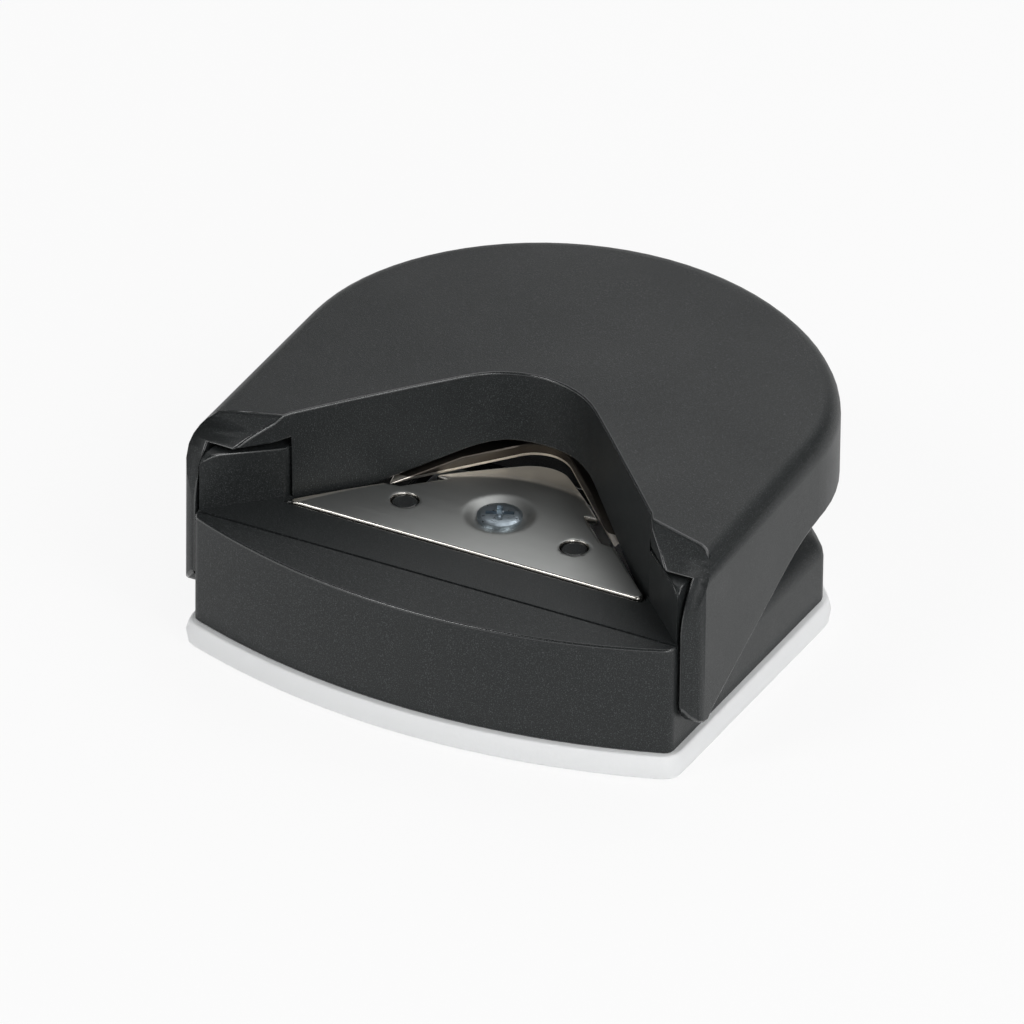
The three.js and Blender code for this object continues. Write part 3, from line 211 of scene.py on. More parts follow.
def room_beside(sharp, edge):
    """What share of the rounding each sharp edge has room for beside its neighbours."""
    tree = KDTree(sum(2 + int(item.calc_length() / edge) for item in sharp))
    owners = []
    for item in sharp:
        first, last = (vert.co for vert in item.verts)
        count = 1 + int(item.calc_length() / edge)
        for step in range(count + 1):
            tree.insert(first.lerp(last, step / count), len(owners))
            owners.append(item)
    tree.balance()
    known = set(sharp)
    shares = {}
    for item in sharp:
        near = {item}
        fringe = [(vert, 0.0) for vert in item.verts]
        while fringe:
            vert, travelled = fringe.pop()
            for other in vert.link_edges:
                if other in known and other not in near:
                    near.add(other)
                    onward = travelled + other.calc_length()
                    if onward < 3 * edge:
                        fringe.append((other.other_vert(vert), onward))
        gap = EDGE_ROOM * edge
        first, last = (vert.co for vert in item.verts)
        count = 1 + int(item.calc_length() / edge)
        for step in range(count + 1):
            for _, index, away in tree.find_range(first.lerp(last, step / count), gap):
                if owners[index] not in near:
                    gap = min(gap, away)
        for vert in item.verts:
            for other in vert.link_edges:
                if other is item:
                    continue
                if other not in known:
                    gap = min(gap, 2.0 * other.calc_length())
                    continue
                end = other.other_vert(vert)
                arriving = vert.co - item.other_vert(vert).co
                if arriving.angle(end.co - vert.co) > CORNER_TURN:
                    gap = min(gap, 2.0 * other.calc_length())
        shares[item] = min(1.0, gap / (EDGE_ROOM * edge))
    return shares


def rounded_copy(name, node, edge, finishes, steps=3, unrounded=None, blended=None):
    """The named solid with its facets merged and its edges rounded, in the last finish.

    Edges in an unrounded place stay sharp; those in a blended place only look round.
    """
    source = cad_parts[node]
    work = bmesh.new()
    work.from_mesh(source.data)
    work.transform(source.matrix_world)
    bmesh.ops.remove_doubles(work, verts=work.verts, dist=SAME_POINT)
    bmesh.ops.dissolve_limit(
        work,
        angle_limit=SAME_PLANE,
        verts=work.verts,
        edges=work.edges,
    )
    weights = work.edges.layers.float.new("bevel_weight_edge")
    solid = [item for item in work.edges if item.is_manifold]
    sharp = [item for item in solid if item.calc_face_angle() > SHARP_TURN]
    kept_places = [place for place in (unrounded, blended) if place]
    for item, share in room_beside(sharp, edge).items():
        middle = item.verts[0].co.lerp(item.verts[1].co, 0.5)
        kept = share <= ENOUGH_ROOM or any(place(middle) for place in kept_places)
        item[weights] = 0.0 if kept else share
    mesh = bpy.data.meshes.new(name)
    work.to_mesh(mesh)
    work.free()
    for finish in finishes:
        mesh.materials.append(finish)
    piece = place_object(name, mesh)
    rounding = piece.modifiers.new("Rounded edges", "BEVEL")
    rounding.width = edge
    rounding.segments = steps
    rounding.limit_method = "WEIGHT"
    rounding.use_clamp_overlap = False
    rounding.miter_outer = "MITER_ARC"
    rounding.material = len(finishes) - 1
    settle(piece, blended=blended)
    return piece


def plain_mesh(piece):
    """The modifiers' result becomes the piece's own mesh."""
    graph = bpy.context.evaluated_depsgraph_get()
    settled = bpy.data.meshes.new_from_object(piece.evaluated_get(graph))
    piece.modifiers.clear()
    piece.data = settled
    settled.name = piece.name
    return settled


def settle(piece, smooth_turn=SMOOTH_TURN, blended=None):
    """A plain mesh, smooth but for its real edges, its flats shaded flat."""
    settled = plain_mesh(piece)
    settled.polygons.foreach_set("use_smooth", [True] * len(settled.polygons))
    settled.set_sharp_from_angle(angle=smooth_turn)
    if blended:
        for item in settled.edges:
            first, last = (settled.vertices[index].co for index in item.vertices)
            if blended(first.lerp(last, 0.5)):
                item.use_edge_sharp = False
    even = piece.modifiers.new("Even shading", "WEIGHTED_NORMAL")
    even.keep_sharp = True
    plain_mesh(piece)


def frosted_clear():
    material, tree, shader = new_material("Frosted Clear Moulding")
    grain = place_group(
        tree,
        MOULDING_GRAIN,
        Colour=(*TRAY_TINT, 1),
        Speckle_Colour=(*TRAY_SPECKLE, 1),
        Grain_Size=0.0004,
        Speckle=0.5,
        Roughness=0.42,
        Roughness_Change=0.15,
    )
    finish_from(tree, shader, grain, 0.00002)
    shader.inputs["Transmission Weight"].default_value = TRAY_CLEARNESS
    shader.inputs["IOR"].default_value = TRAY_IOR
    return material


tray = rounded_copy("Chip_tray", "chip_tray", TRAY_EDGE, [frosted_clear()])
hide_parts("chip_tray")
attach(tray, "tray")


# Base. One moulding in black ABS with a fine spark-eroded grain: the table, the two
# guide posts, the low rear deck, the two locating pegs and the pivot rod's bearings.

BASE_EDGE = 0.00022
ABS_BLACK = (0.0135, 0.0155, 0.0158)
ABS_SPECKLE = (0.078, 0.083, 0.086)
ABS_GRAIN_SIZE = 0.00011
ABS_IOR = 1.53
ABS_FACE = {"speckle": 0.55, "roughness": 0.44, "depth": 0.000018, "gloss": 0.28}
ABS_EDGE = {"speckle": 0.3, "roughness": 0.22, "depth": 0.000004, "gloss": 0.8}
POST_POINT_ASIDE = 0.0275
POST_POINT_BACK = 0.0018
POST_POINT_FOOT = 0.0208


def black_abs(name, speckle, roughness, depth, gloss):
    """Black ABS with the moulding's grain; its polished edges have less grain, more gloss."""
    material, tree, shader = new_material(name)
    grain = place_group(
        tree,
        MOULDING_GRAIN,
        Colour=(*ABS_BLACK, 1),
        Speckle_Colour=(*ABS_SPECKLE, 1),
        Grain_Size=ABS_GRAIN_SIZE,
        Speckle=speckle,
        Roughness=roughness,
        Roughness_Change=0.16,
    )
    finish_from(tree, shader, grain, depth)
    shader.inputs["Specular IOR Level"].default_value = gloss
    shader.inputs["IOR"].default_value = ABS_IOR
    return material


base_grain = black_abs("Black ABS, base grain", **ABS_FACE)
moulded_edge = black_abs("Black ABS, moulded edge", **ABS_EDGE)


def post_point(middle):
    """The pointed head of each guide post, too narrow to be rounded."""
    outside = abs(middle.x) > POST_POINT_ASIDE
    return outside and middle.y < POST_POINT_BACK and middle.z > POST_POINT_FOOT


base = rounded_copy(
    "Base",
    "base_body",
    BASE_EDGE,
    [base_grain, moulded_edge],
    unrounded=post_point,
)
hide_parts("base_body")
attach(base, "base")


# Die plate. Stamped from 0.8 mm steel strip, with a dished seat for its screw and a
# tongue bent down behind a curved crease. Its round nose is the fixed cutting edge.

PLATE_FRONT = 0.0072
PLATE_APEX = 0.0288
PLATE_TOP = 0.01568
PLATE_THICKNESS = 0.0008
PLATE_TIP_ROUND = 0.0006
PLATE_TIP_STEPS = 8
PLATE_SHEARED_EDGE = 0.00015
PUNCHED_EDGE = 0.00004
CUT_RADIUS = 0.004
CUT_STEPS = 12
NOTCH_FRONT = 0.0151
NOTCH_BACK = 0.0193
NOTCH_DEPTH = 0.0011
NOTCH_STEP = 0.00025
DISH_PLACE = 0.0153
DISH_RADIUS = 0.0041
DISH_FLOOR = 0.0025
DISH_DEPTH = 0.00055
SCREW_HOLE = 0.00125
CREASE_MIDDLE = (0.0020, 0.02265)
CREASE_CURVE = 32.7
TONGUE_DROP = 0.00075
TONGUE_END = 0.0272
PEG_HOLE = 0.00155
PEG_PLACE = (0.01003, 0.01299)
TONGUE_EASE = 0.12
PLATE_SPACING = 0.00035
PLATE_CLEAR = 0.7 * PLATE_SPACING
# The crease band is a painted highlight: a bright tint along the crease that stands in for the light
# the bend catches.
CREASE_HIGHLIGHT_PLACE = 0.0004
CREASE_HIGHLIGHT_WIDTH = 0.0006
CREASE_HIGHLIGHT_TINT = (0.98, 0.94, 0.86, 1)
CREASE_HIGHLIGHT_ROUGHER = 0.08
# The tongue's tint is partly a rust-brown tone and partly painted light: lighter all over, standing
# in for the light its bent face catches.
TONGUE_RUST_AND_LIGHT_TINT = (0.72, 0.68, 0.60, 1)
TONGUE_ROUGHER = 0.14
INSIDE_BORDERS = 1


def rolled_metal():
    """Rolling streaks, fine scratches and clouded patches of a metal surface."""
    tree, given, result = new_group(
        "Rolled Metal",
        [
            ("Place", "NodeSocketVector", None),
            ("Colour", "NodeSocketColor", (0.5, 0.5, 0.5, 1)),
            ("Cloud Colour", "NodeSocketColor", (0.4, 0.4, 0.4, 1)),
            ("Streak Width", "NodeSocketFloat", 0.0002),
            ("Streak Stretch", "NodeSocketFloat", 0.03),
            ("Cloud Size", "NodeSocketFloat", 0.006),
            ("Roughness", "NodeSocketFloat", 0.3),
            ("Roughness Change", "NodeSocketFloat", 0.15),
        ],
        [
            ("Colour", "NodeSocketColor"),
            ("Roughness", "NodeSocketFloat"),
            ("Height", "NodeSocketFloat"),
        ],
    )
    stretch = add_node(tree, "ShaderNodeCombineXYZ")
    stretch.inputs["Y"].default_value = 1.0
    stretch.inputs["Z"].default_value = 1.0
    link(tree, given.outputs["Streak Stretch"], stretch.inputs["X"])
    along = add_node(tree, "ShaderNodeVectorMath", operation="MULTIPLY")
    link(tree, given.outputs["Place"], along.inputs[0])
    link(tree, stretch.outputs["Vector"], along.inputs[1])
    streaks = add_node(tree, "ShaderNodeTexNoise")
    streaks.inputs["Detail"].default_value = 4.0
    link(tree, along.outputs["Vector"], streaks.inputs["Vector"])
    link(
        tree,
        maths(tree, "DIVIDE", 1.0, given.outputs["Streak Width"]),
        streaks.inputs["Scale"],
    )
    cloud = add_node(tree, "ShaderNodeTexNoise")
    cloud.inputs["Detail"].default_value = 5.0
    link(tree, given.outputs["Place"], cloud.inputs["Vector"])
    link(
        tree,
        maths(tree, "DIVIDE", 1.0, given.outputs["Cloud Size"]),
        cloud.inputs["Scale"],
    )
    mix = add_node(tree, "ShaderNodeMix", data_type="RGBA")
    link(tree, cloud.outputs["Fac"], mix.inputs["Factor"])
    link(tree, given.outputs["Colour"], mix.inputs["A"])
    link(tree, given.outputs["Cloud Colour"], mix.inputs["B"])
    link(tree, mix.outputs["Result"], result.inputs["Colour"])
    both = maths(tree, "ADD", streaks.outputs["Fac"], cloud.outputs["Fac"])
    change = maths(tree, "SUBTRACT", both, 1.0)
    rough = maths(
        tree,
        "MULTIPLY_ADD",
        change,
        given.outputs["Roughness Change"],
        given.outputs["Roughness"],
    )
    link(tree, rough, result.inputs["Roughness"])
    link(tree, streaks.outputs["Fac"], result.inputs["Height"])
    return tree


ROLLED_METAL = rolled_metal()


def metal(name, depth, **values):
    """Bare metal with the rolled effect, its relief this deep."""
    material, tree, shader = new_material(name)
    surface = place_group(tree, ROLLED_METAL, **values)
    finish_from(tree, shader, surface, depth)
    shader.inputs["Metallic"].default_value = 1.0
    return material


satin_steel = metal(
    "Satin Rolled Steel",
    0.000004,
    Colour=(0.54, 0.55, 0.54, 1),
    Cloud_Colour=(0.40, 0.41, 0.40, 1),
    Streak_Width=0.0004,
    Streak_Stretch=0.02,
    Cloud_Size=0.008,
    Roughness=0.42,
    Roughness_Change=0.12,
)


def paint_tongue_light_and_crease_highlight(material):
    """The bent tongue, rougher, tinted lighter and browner: a rust-brown tone and painted light. A
    painted highlight lies along its crease.
    """
    tree = material.node_tree
    shader = tree.nodes["Principled BSDF"]
    surface = next(node for node in tree.nodes if node.type == "GROUP")
    place = add_node(tree, "ShaderNodeTexCoord")
    parts = add_node(tree, "ShaderNodeSeparateXYZ")
    link(tree, place.outputs["Object"], parts.inputs[0])
    aside = maths(tree, "SUBTRACT", parts.outputs["X"], CREASE_MIDDLE[0])
    sweep = maths(tree, "MULTIPLY", maths(tree, "POWER", aside, 2.0), CREASE_CURVE)
    behind = maths(tree, "ADD", parts.outputs["Y"], sweep)
    behind = maths(tree, "SUBTRACT", behind, CREASE_MIDDLE[1] + CREASE_HIGHLIGHT_PLACE)
    share = maths(tree, "DIVIDE", maths(tree, "ABSOLUTE", behind), CREASE_HIGHLIGHT_WIDTH)
    band = maths(tree, "SUBTRACT", 1.0, maths(tree, "MINIMUM", share, 1.0))
    past = maths(tree, "DIVIDE", maths(tree, "MAXIMUM", behind, 0.0), CREASE_HIGHLIGHT_WIDTH)
    tongue = maths(tree, "MINIMUM", past, 1.0)
    colour = surface.outputs["Colour"]
    # The tongue takes its tint, part rust-brown tone and part painted light, and the crease takes
    # its painted highlight.
    for mask, tint in ((tongue, TONGUE_RUST_AND_LIGHT_TINT), (band, CREASE_HIGHLIGHT_TINT)):
        mix = add_node(tree, "ShaderNodeMix", data_type="RGBA")
        mix.inputs["B"].default_value = tint
        link(tree, mask, mix.inputs["Factor"])
        link(tree, colour, mix.inputs["A"])
        colour = mix.outputs["Result"]
    link(tree, colour, shader.inputs["Base Color"])
    dull = maths(tree, "MULTIPLY_ADD", tongue, TONGUE_ROUGHER, surface.outputs["Roughness"])
    rough = maths(tree, "MULTIPLY_ADD", band, CREASE_HIGHLIGHT_ROUGHER, dull)
    link(tree, rough, shader.inputs["Roughness"])


paint_tongue_light_and_crease_highlight(satin_steel)
sheared_steel = metal(
    "Sheared Steel Edge",
    0.000004,
    Colour=(0.66, 0.64, 0.60, 1),
    Cloud_Colour=(0.52, 0.50, 0.46, 1),
    Streak_Width=0.0003,
    Streak_Stretch=1.0,
    Cloud_Size=0.002,
    Roughness=0.24,
    Roughness_Change=0.10,
)


def plate_outline():
    """The plate's outline, right half from the middle of its front, then the left half."""
    run = PLATE_TIP_ROUND / math.tan(math.pi / 8)
    tip = (PLATE_APEX - PLATE_FRONT - run, PLATE_FRONT + PLATE_TIP_ROUND)
    nose = PLATE_APEX - CUT_RADIUS * math.sqrt(2)
    relief = NOTCH_DEPTH * math.sqrt(2)
    half = [(0.0, PLATE_FRONT)]
    for step in range(PLATE_TIP_STEPS + 1):
        turn = math.radians(-90 + 135 * step / PLATE_TIP_STEPS)
        half.append(
            (
                tip[0] + PLATE_TIP_ROUND * math.cos(turn),
                tip[1] + PLATE_TIP_ROUND * math.sin(turn),
            )
        )
    half.append((PLATE_APEX - NOTCH_FRONT, NOTCH_FRONT))
    inner = (NOTCH_FRONT + NOTCH_STEP, NOTCH_BACK - NOTCH_STEP)
    half += [(PLATE_APEX - place - relief, place) for place in inner]
    half.append((PLATE_APEX - NOTCH_BACK, NOTCH_BACK))
    for step in range(CUT_STEPS + 1):
        turn = math.radians(45 + 45 * step / CUT_STEPS)
        half.append((CUT_RADIUS * math.cos(turn), nose + CUT_RADIUS * math.sin(turn)))
    mirrored = [(-x, y) for x, y in reversed(half[1:-1])]
    return stepped(half + mirrored, PLATE_SPACING)


def stepped(loop, spacing):
    """The same closed outline with its long edges divided."""
    points = []
    for here, there in zip(loop, loop[1:] + loop[:1]):
        parts = max(1, round(math.dist(here, there) / spacing))
        for part in range(parts):
            share = part / parts
            points.append(tuple(a + (b - a) * share for a, b in zip(here, there)))
    return points


def round_hole(x, y, radius, count=40):
    turns = [-2 * math.pi * step / count for step in range(count)]
    return [(x + radius * math.cos(turn), y + radius * math.sin(turn)) for turn in turns]


def drawn_in(loop, distance):
    """The outline moved into the metal, which lies on its left."""
    moved = []
    for before, here, after in zip(loop[-1:] + loop[:-1], loop, loop[1:] + loop[:1]):
        first = Vector((here[0] - before[0], here[1] - before[1])).normalized()
        second = Vector((after[0] - here[0], after[1] - here[1])).normalized()
        across = Vector((-first.y - second.y, first.x + second.x)).normalized()
        lean = max(0.5, across.dot(Vector((-first.y, first.x))))
        moved.append((here[0] + across.x * distance / lean, here[1] + across.y * distance / lean))
    return moved


def smooth_step(value):
    value = min(1.0, max(0.0, value))
    return value * value * (3 - 2 * value)


def plate_fall(x, y):
    """How far the dished seat and the bent tongue bring the plate's top down."""
    reach = math.hypot(x, y - DISH_PLACE)
    seat = 1 - smooth_step((reach - DISH_FLOOR) / (DISH_RADIUS - DISH_FLOOR))
    crease = CREASE_MIDDLE[1] - CREASE_CURVE * (x - CREASE_MIDDLE[0]) ** 2
    past = max(0.0, y - crease) / (TONGUE_END - CREASE_MIDDLE[1])
    bend = past * past / (past + TONGUE_EASE)
    return DISH_DEPTH * seat + TONGUE_DROP * bend


def die_plate_mesh():
    """The plate as two fine nets of triangles, bent alike, joined by its cut edges."""
    holes = [(side * PEG_PLACE[0], PEG_PLACE[1], PEG_HOLE) for side in (-1, 1)]
    holes.append((0, DISH_PLACE, SCREW_HOLE))
    loops = [plate_outline()] + [round_hole(*hole) for hole in holes]
    edges = [PLATE_SHEARED_EDGE] + [PUNCHED_EDGE] * len(holes)
    inner = [drawn_in(loop, edge) for loop, edge in zip(loops, edges)]
    points = [point for loop in inner for point in loop]
    borders = []
    for loop in inner:
        start = len(borders)
        borders += [(start + k, start + (k + 1) % len(loop)) for k in range(len(loop))]
    border_count = len(points)
    row_step = PLATE_SPACING * math.sqrt(0.75)
    rows = math.ceil((PLATE_APEX - PLATE_FRONT) / row_step)
    columns = math.ceil(PLATE_APEX / PLATE_SPACING)
    outline = [Vector((*point, 0)) for point in loops[0]]
    for row in range(rows):
        y = PLATE_FRONT + row * row_step
        for column in range(-columns, columns + 1):
            x = (column + 0.5 * (row % 2)) * PLATE_SPACING
            if abs(x) > PLATE_APEX - y:
                continue
            clear = min(math.hypot(x - a, y - b) - radius for a, b, radius in holes)
            if clear < PLATE_CLEAR:
                continue
            near = min((Vector((x, y, 0)) - point).length for point in outline)
            if near > PLATE_CLEAR:
                points.append((x, y))
    flat = delaunay_2d_cdt([Vector(point) for point in points], borders, [], INSIDE_BORDERS, 1e-9)
    work = bmesh.new()

    def layer(level, loop_points):
        return [work.verts.new((x, y, PLATE_TOP - plate_fall(x, y) - level)) for x, y in loop_points]

    spots = [tuple(vert) for vert in flat[0]]
    for level, turned in ((0.0, False), (PLATE_THICKNESS, True)):
        corners = layer(level, spots)
        kept = {}
        for number, sources in enumerate(flat[3]):
            for source in sources:
                kept[source] = corners[number]
        for face in flat[2]:
            middle = [sum(spots[k][axis] for k in face) / 3 for axis in (0, 1)]
            beyond = min(math.hypot(middle[0] - a, middle[1] - b) - r for a, b, r in holes)
            if beyond < PUNCHED_EDGE:
                continue
            ring = [corners[k] for k in face]
            work.faces.new(ring[::-1] if turned else ring)
        if not turned:
            top_ring = [kept[k] for k in range(border_count)]
        else:
            bottom_ring = [kept[k] for k in range(border_count)]
    start = 0
    for loop, edge in zip(loops, edges):
        count = len(loop)
        rims = [
            top_ring[start : start + count],
            layer(edge, loop),
            layer(PLATE_THICKNESS - edge, loop),
            bottom_ring[start : start + count],
        ]
        for upper, lower in zip(rims, rims[1:]):
            for k in range(count):
                ahead = (k + 1) % count
                side = work.faces.new((upper[k], lower[k], lower[ahead], upper[ahead]))
                side.material_index = 1
        start += count
    loose = [vert for vert in work.verts if not vert.link_faces]
    bmesh.ops.delete(work, geom=loose, context="VERTS")
    bmesh.ops.recalc_face_normals(work, faces=work.faces)
    mesh = bpy.data.meshes.new("Die_plate")
    work.to_mesh(mesh)
    work.free()
    return mesh


plate_mesh = die_plate_mesh()
plate_mesh.materials.append(satin_steel)
plate_mesh.materials.append(sheared_steel)
die_plate = place_object("Die_plate", plate_mesh)
settle(die_plate, CORNER_TURN)
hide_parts("die_plate")
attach(die_plate, "base")


# Cross-head screws. Pan heads in bright zinc plate: one holds the die plate in its
# dished seat, and two, driven from below, hold the blade to the lever's bosses.

SCREW_HEAD = 0.00485
SCREW_HEAD_HEIGHT = 0.0007
SCREW_CROWN = 0.00025
SCREW_SHANK = 0.0022
SCREW_PITCH = 0.0009
SCREW_RECESS_LENGTH = 0.0030
SCREW_RECESS_WIDTH = 0.00062
SCREW_RECESS_DEPTH = 0.00052
HEAD_SIDES = 48
HEAD_RINGS = 10
WELL_SIDES = 16
WELL_TOP_SHARE = 0.95
WELL_FOOT_SHARE = 0.2
WELL_HEIGHT_SHARE = 1.3
WELL_DEPTH_SHARE = 1.25
CORE_SIDES = 24
CORE_SHARE = 0.38
RIDGE_SIDES = 4
RIDGE_SHARE = 0.11
THREAD_STEPS = 20
THREAD_TURNS_LESS = 0.8
THREAD_SHARE = 0.86
THREAD_FOOT_SHARE = 0.93
SCREW_SMOOTH_TURN = math.radians(32)
DIE_SCREW_LENGTH = 0.006
DIE_SCREW_TURN = math.radians(26)
CROWN_FALL = 3.2
CROWN_ROUND = 0.62


def new_geometry_tree(name, inputs):
    tree = bpy.data.node_groups.new(name, "GeometryNodeTree")
    tree.interface.new_socket("Geometry", in_out="INPUT", socket_type="NodeSocketGeometry")
    for label, kind, value in inputs:
        socket = tree.interface.new_socket(label, in_out="INPUT", socket_type=kind)
        if value is not None:
            socket.default_value = value
    tree.interface.new_socket("Geometry", in_out="OUTPUT", socket_type="NodeSocketGeometry")
    return tree, tree.nodes.new("NodeGroupInput"), tree.nodes.new("NodeGroupOutput")


def set_inputs(modifier, **values):
    """The modifier's inputs by the names that its tree gives them."""
    for item in modifier.node_group.interface.items_tree:
        if item.item_type == "SOCKET" and item.in_out == "INPUT":
            key = item.name.replace(" ", "_")
            if key in values:
                modifier[item.identifier] = values[key]


def end_tree(tree, given, result, geometry):
    """The tree's last two nodes: real geometry, in the given material."""
    realized = add_node(tree, "GeometryNodeRealizeInstances")
    painted = add_node(tree, "GeometryNodeSetMaterial")
    link(tree, geometry, realized.inputs["Geometry"])
    link(tree, realized.outputs["Geometry"], painted.inputs["Geometry"])
    link(tree, given.outputs["Material"], painted.inputs["Material"])
    link(tree, painted.outputs["Geometry"], result.inputs["Geometry"])


def screw_tree():
    """One screw on each point of the geometry, its seat on the point, its shank down."""
    tree, given, result = new_geometry_tree(
        "Cross-head Screw",
        [
            ("Head Diameter", "NodeSocketFloat", SCREW_HEAD),
            ("Head Height", "NodeSocketFloat", SCREW_HEAD_HEIGHT),
            ("Crown", "NodeSocketFloat", SCREW_CROWN),
            ("Shank Diameter", "NodeSocketFloat", SCREW_SHANK),
            ("Length", "NodeSocketFloat", DIE_SCREW_LENGTH),
            ("Pitch", "NodeSocketFloat", SCREW_PITCH),
            ("Recess Length", "NodeSocketFloat", SCREW_RECESS_LENGTH),
            ("Recess Width", "NodeSocketFloat", SCREW_RECESS_WIDTH),
            ("Recess Depth", "NodeSocketFloat", SCREW_RECESS_DEPTH),
            ("Recess Turn", "NodeSocketFloat", 0.0),
            ("Tilt", "NodeSocketFloat", 0.0),
            ("Material", "NodeSocketMaterial", None),
        ],
    )
    value = given.outputs
    head_radius = maths(tree, "MULTIPLY", value["Head Diameter"], 0.5)
    rim_height = maths(tree, "SUBTRACT", value["Head Height"], value["Crown"])

    disc = add_node(tree, "GeometryNodeMeshCylinder", fill_type="TRIANGLE_FAN")
    disc.inputs["Vertices"].default_value = HEAD_SIDES
    disc.inputs["Side Segments"].default_value = 1
    disc.inputs["Fill Segments"].default_value = HEAD_RINGS
    link(tree, head_radius, disc.inputs["Radius"])
    link(tree, rim_height, disc.inputs["Depth"])
    place = add_node(tree, "GeometryNodeInputPosition")
    parts = add_node(tree, "ShaderNodeSeparateXYZ")
    link(tree, place.outputs[0], parts.inputs[0])
    squares = maths(
        tree,
        "ADD",
        maths(tree, "POWER", parts.outputs["X"], 2.0),
        maths(tree, "POWER", parts.outputs["Y"], 2.0),
    )
    reach = maths(tree, "DIVIDE", maths(tree, "SQRT", squares), head_radius)
    dome = maths(tree, "SUBTRACT", 1.0, maths(tree, "POWER", reach, CROWN_FALL))
    dome = maths(tree, "POWER", maths(tree, "MAXIMUM", dome, 0.0), CROWN_ROUND)
    swell = maths(tree, "MULTIPLY", dome, value["Crown"])
    upper = maths(tree, "GREATER_THAN", parts.outputs["Z"], 0.0)
    lift = add_node(tree, "ShaderNodeCombineXYZ")
    rise = maths(
        tree,
        "MULTIPLY_ADD",
        swell,
        upper,
        maths(tree, "MULTIPLY", rim_height, 0.5),
    )
    link(tree, rise, lift.inputs["Z"])
    domed = add_node(tree, "GeometryNodeSetPosition")
    link(tree, disc.outputs["Mesh"], domed.inputs["Geometry"])
    link(tree, lift.outputs[0], domed.inputs["Offset"])

    recess_size = add_node(tree, "ShaderNodeCombineXYZ")
    link(tree, value["Recess Length"], recess_size.inputs["X"])
    link(tree, value["Recess Width"], recess_size.inputs["Y"])
    link(tree, maths(tree, "MULTIPLY", value["Recess Depth"], 2.0), recess_size.inputs["Z"])
    recess_place = add_node(tree, "ShaderNodeCombineXYZ")
    link(tree, value["Head Height"], recess_place.inputs["Z"])
    slots = []
    for quarter in (0.0, math.pi / 2):
        bar = add_node(tree, "GeometryNodeMeshCube")
        link(tree, recess_size.outputs[0], bar.inputs["Size"])
        turn = add_node(tree, "ShaderNodeCombineXYZ")
        link(tree, maths(tree, "ADD", value["Recess Turn"], quarter), turn.inputs["Z"])
        moved = add_node(tree, "GeometryNodeTransform")
        link(tree, bar.outputs["Mesh"], moved.inputs["Geometry"])
        link(tree, recess_place.outputs[0], moved.inputs["Translation"])
        link(tree, turn.outputs[0], moved.inputs["Rotation"])
        slots.append(moved.outputs["Geometry"])
    well = add_node(tree, "GeometryNodeMeshCone", fill_type="NGON")
    well.inputs["Vertices"].default_value = WELL_SIDES
    for label, length, share in (
        ("Radius Top", "Recess Width", WELL_TOP_SHARE),
        ("Radius Bottom", "Recess Width", WELL_FOOT_SHARE),
        ("Depth", "Recess Depth", WELL_HEIGHT_SHARE),
    ):
        link(tree, maths(tree, "MULTIPLY", value[length], share), well.inputs[label])
    down = add_node(tree, "ShaderNodeCombineXYZ")
    deep = maths(tree, "MULTIPLY", value["Recess Depth"], -WELL_DEPTH_SHARE)
    link(tree, maths(tree, "ADD", value["Head Height"], deep), down.inputs["Z"])
    sunk = add_node(tree, "GeometryNodeTransform")
    link(tree, well.outputs["Mesh"], sunk.inputs["Geometry"])
    link(tree, down.outputs[0], sunk.inputs["Translation"])
    slots.append(sunk.outputs["Geometry"])
    head = domed.outputs["Geometry"]
    for slot_shape in slots:
        carve = add_node(
            tree,
            "GeometryNodeMeshBoolean",
            operation="DIFFERENCE",
            solver="EXACT",
        )
        link(tree, head, carve.inputs["Mesh 1"])
        link(tree, slot_shape, carve.inputs["Mesh 2"])
        head = carve.outputs["Mesh"]

    core_radius = maths(tree, "MULTIPLY", value["Shank Diameter"], CORE_SHARE)
    core = add_node(tree, "GeometryNodeMeshCylinder", fill_type="NGON")
    core.inputs["Vertices"].default_value = CORE_SIDES
    link(tree, core_radius, core.inputs["Radius"])
    link(tree, value["Length"], core.inputs["Depth"])
    below = add_node(tree, "ShaderNodeCombineXYZ")
    link(tree, maths(tree, "MULTIPLY", value["Length"], -0.5), below.inputs["Z"])
    shank = add_node(tree, "GeometryNodeTransform")
    link(tree, core.outputs["Mesh"], shank.inputs["Geometry"])
    link(tree, below.outputs[0], shank.inputs["Translation"])
    helix = add_node(tree, "GeometryNodeCurveSpiral")
    helix.inputs["Resolution"].default_value = THREAD_STEPS
    turns = maths(tree, "DIVIDE", value["Length"], value["Pitch"])
    link(tree, maths(tree, "SUBTRACT", turns, THREAD_TURNS_LESS), helix.inputs["Rotations"])
    link(tree, core_radius, helix.inputs["Start Radius"])
    link(tree, core_radius, helix.inputs["End Radius"])
    link(tree, maths(tree, "MULTIPLY", value["Length"], THREAD_SHARE), helix.inputs["Height"])
    ridge = add_node(tree, "GeometryNodeCurvePrimitiveCircle", mode="RADIUS")
    ridge.inputs["Resolution"].default_value = RIDGE_SIDES
    ridge_radius = maths(tree, "MULTIPLY", value["Shank Diameter"], RIDGE_SHARE)
    link(tree, ridge_radius, ridge.inputs["Radius"])
    thread = add_node(tree, "GeometryNodeCurveToMesh")
    thread.inputs["Fill Caps"].default_value = True
    link(tree, helix.outputs["Curve"], thread.inputs["Curve"])
    link(tree, ridge.outputs["Curve"], thread.inputs["Profile Curve"])
    deeper = add_node(tree, "ShaderNodeCombineXYZ")
    foot = maths(tree, "MULTIPLY", value["Length"], -THREAD_FOOT_SHARE)
    link(tree, foot, deeper.inputs["Z"])
    wound = add_node(tree, "GeometryNodeTransform")
    link(tree, thread.outputs["Mesh"], wound.inputs["Geometry"])
    link(tree, deeper.outputs[0], wound.inputs["Translation"])

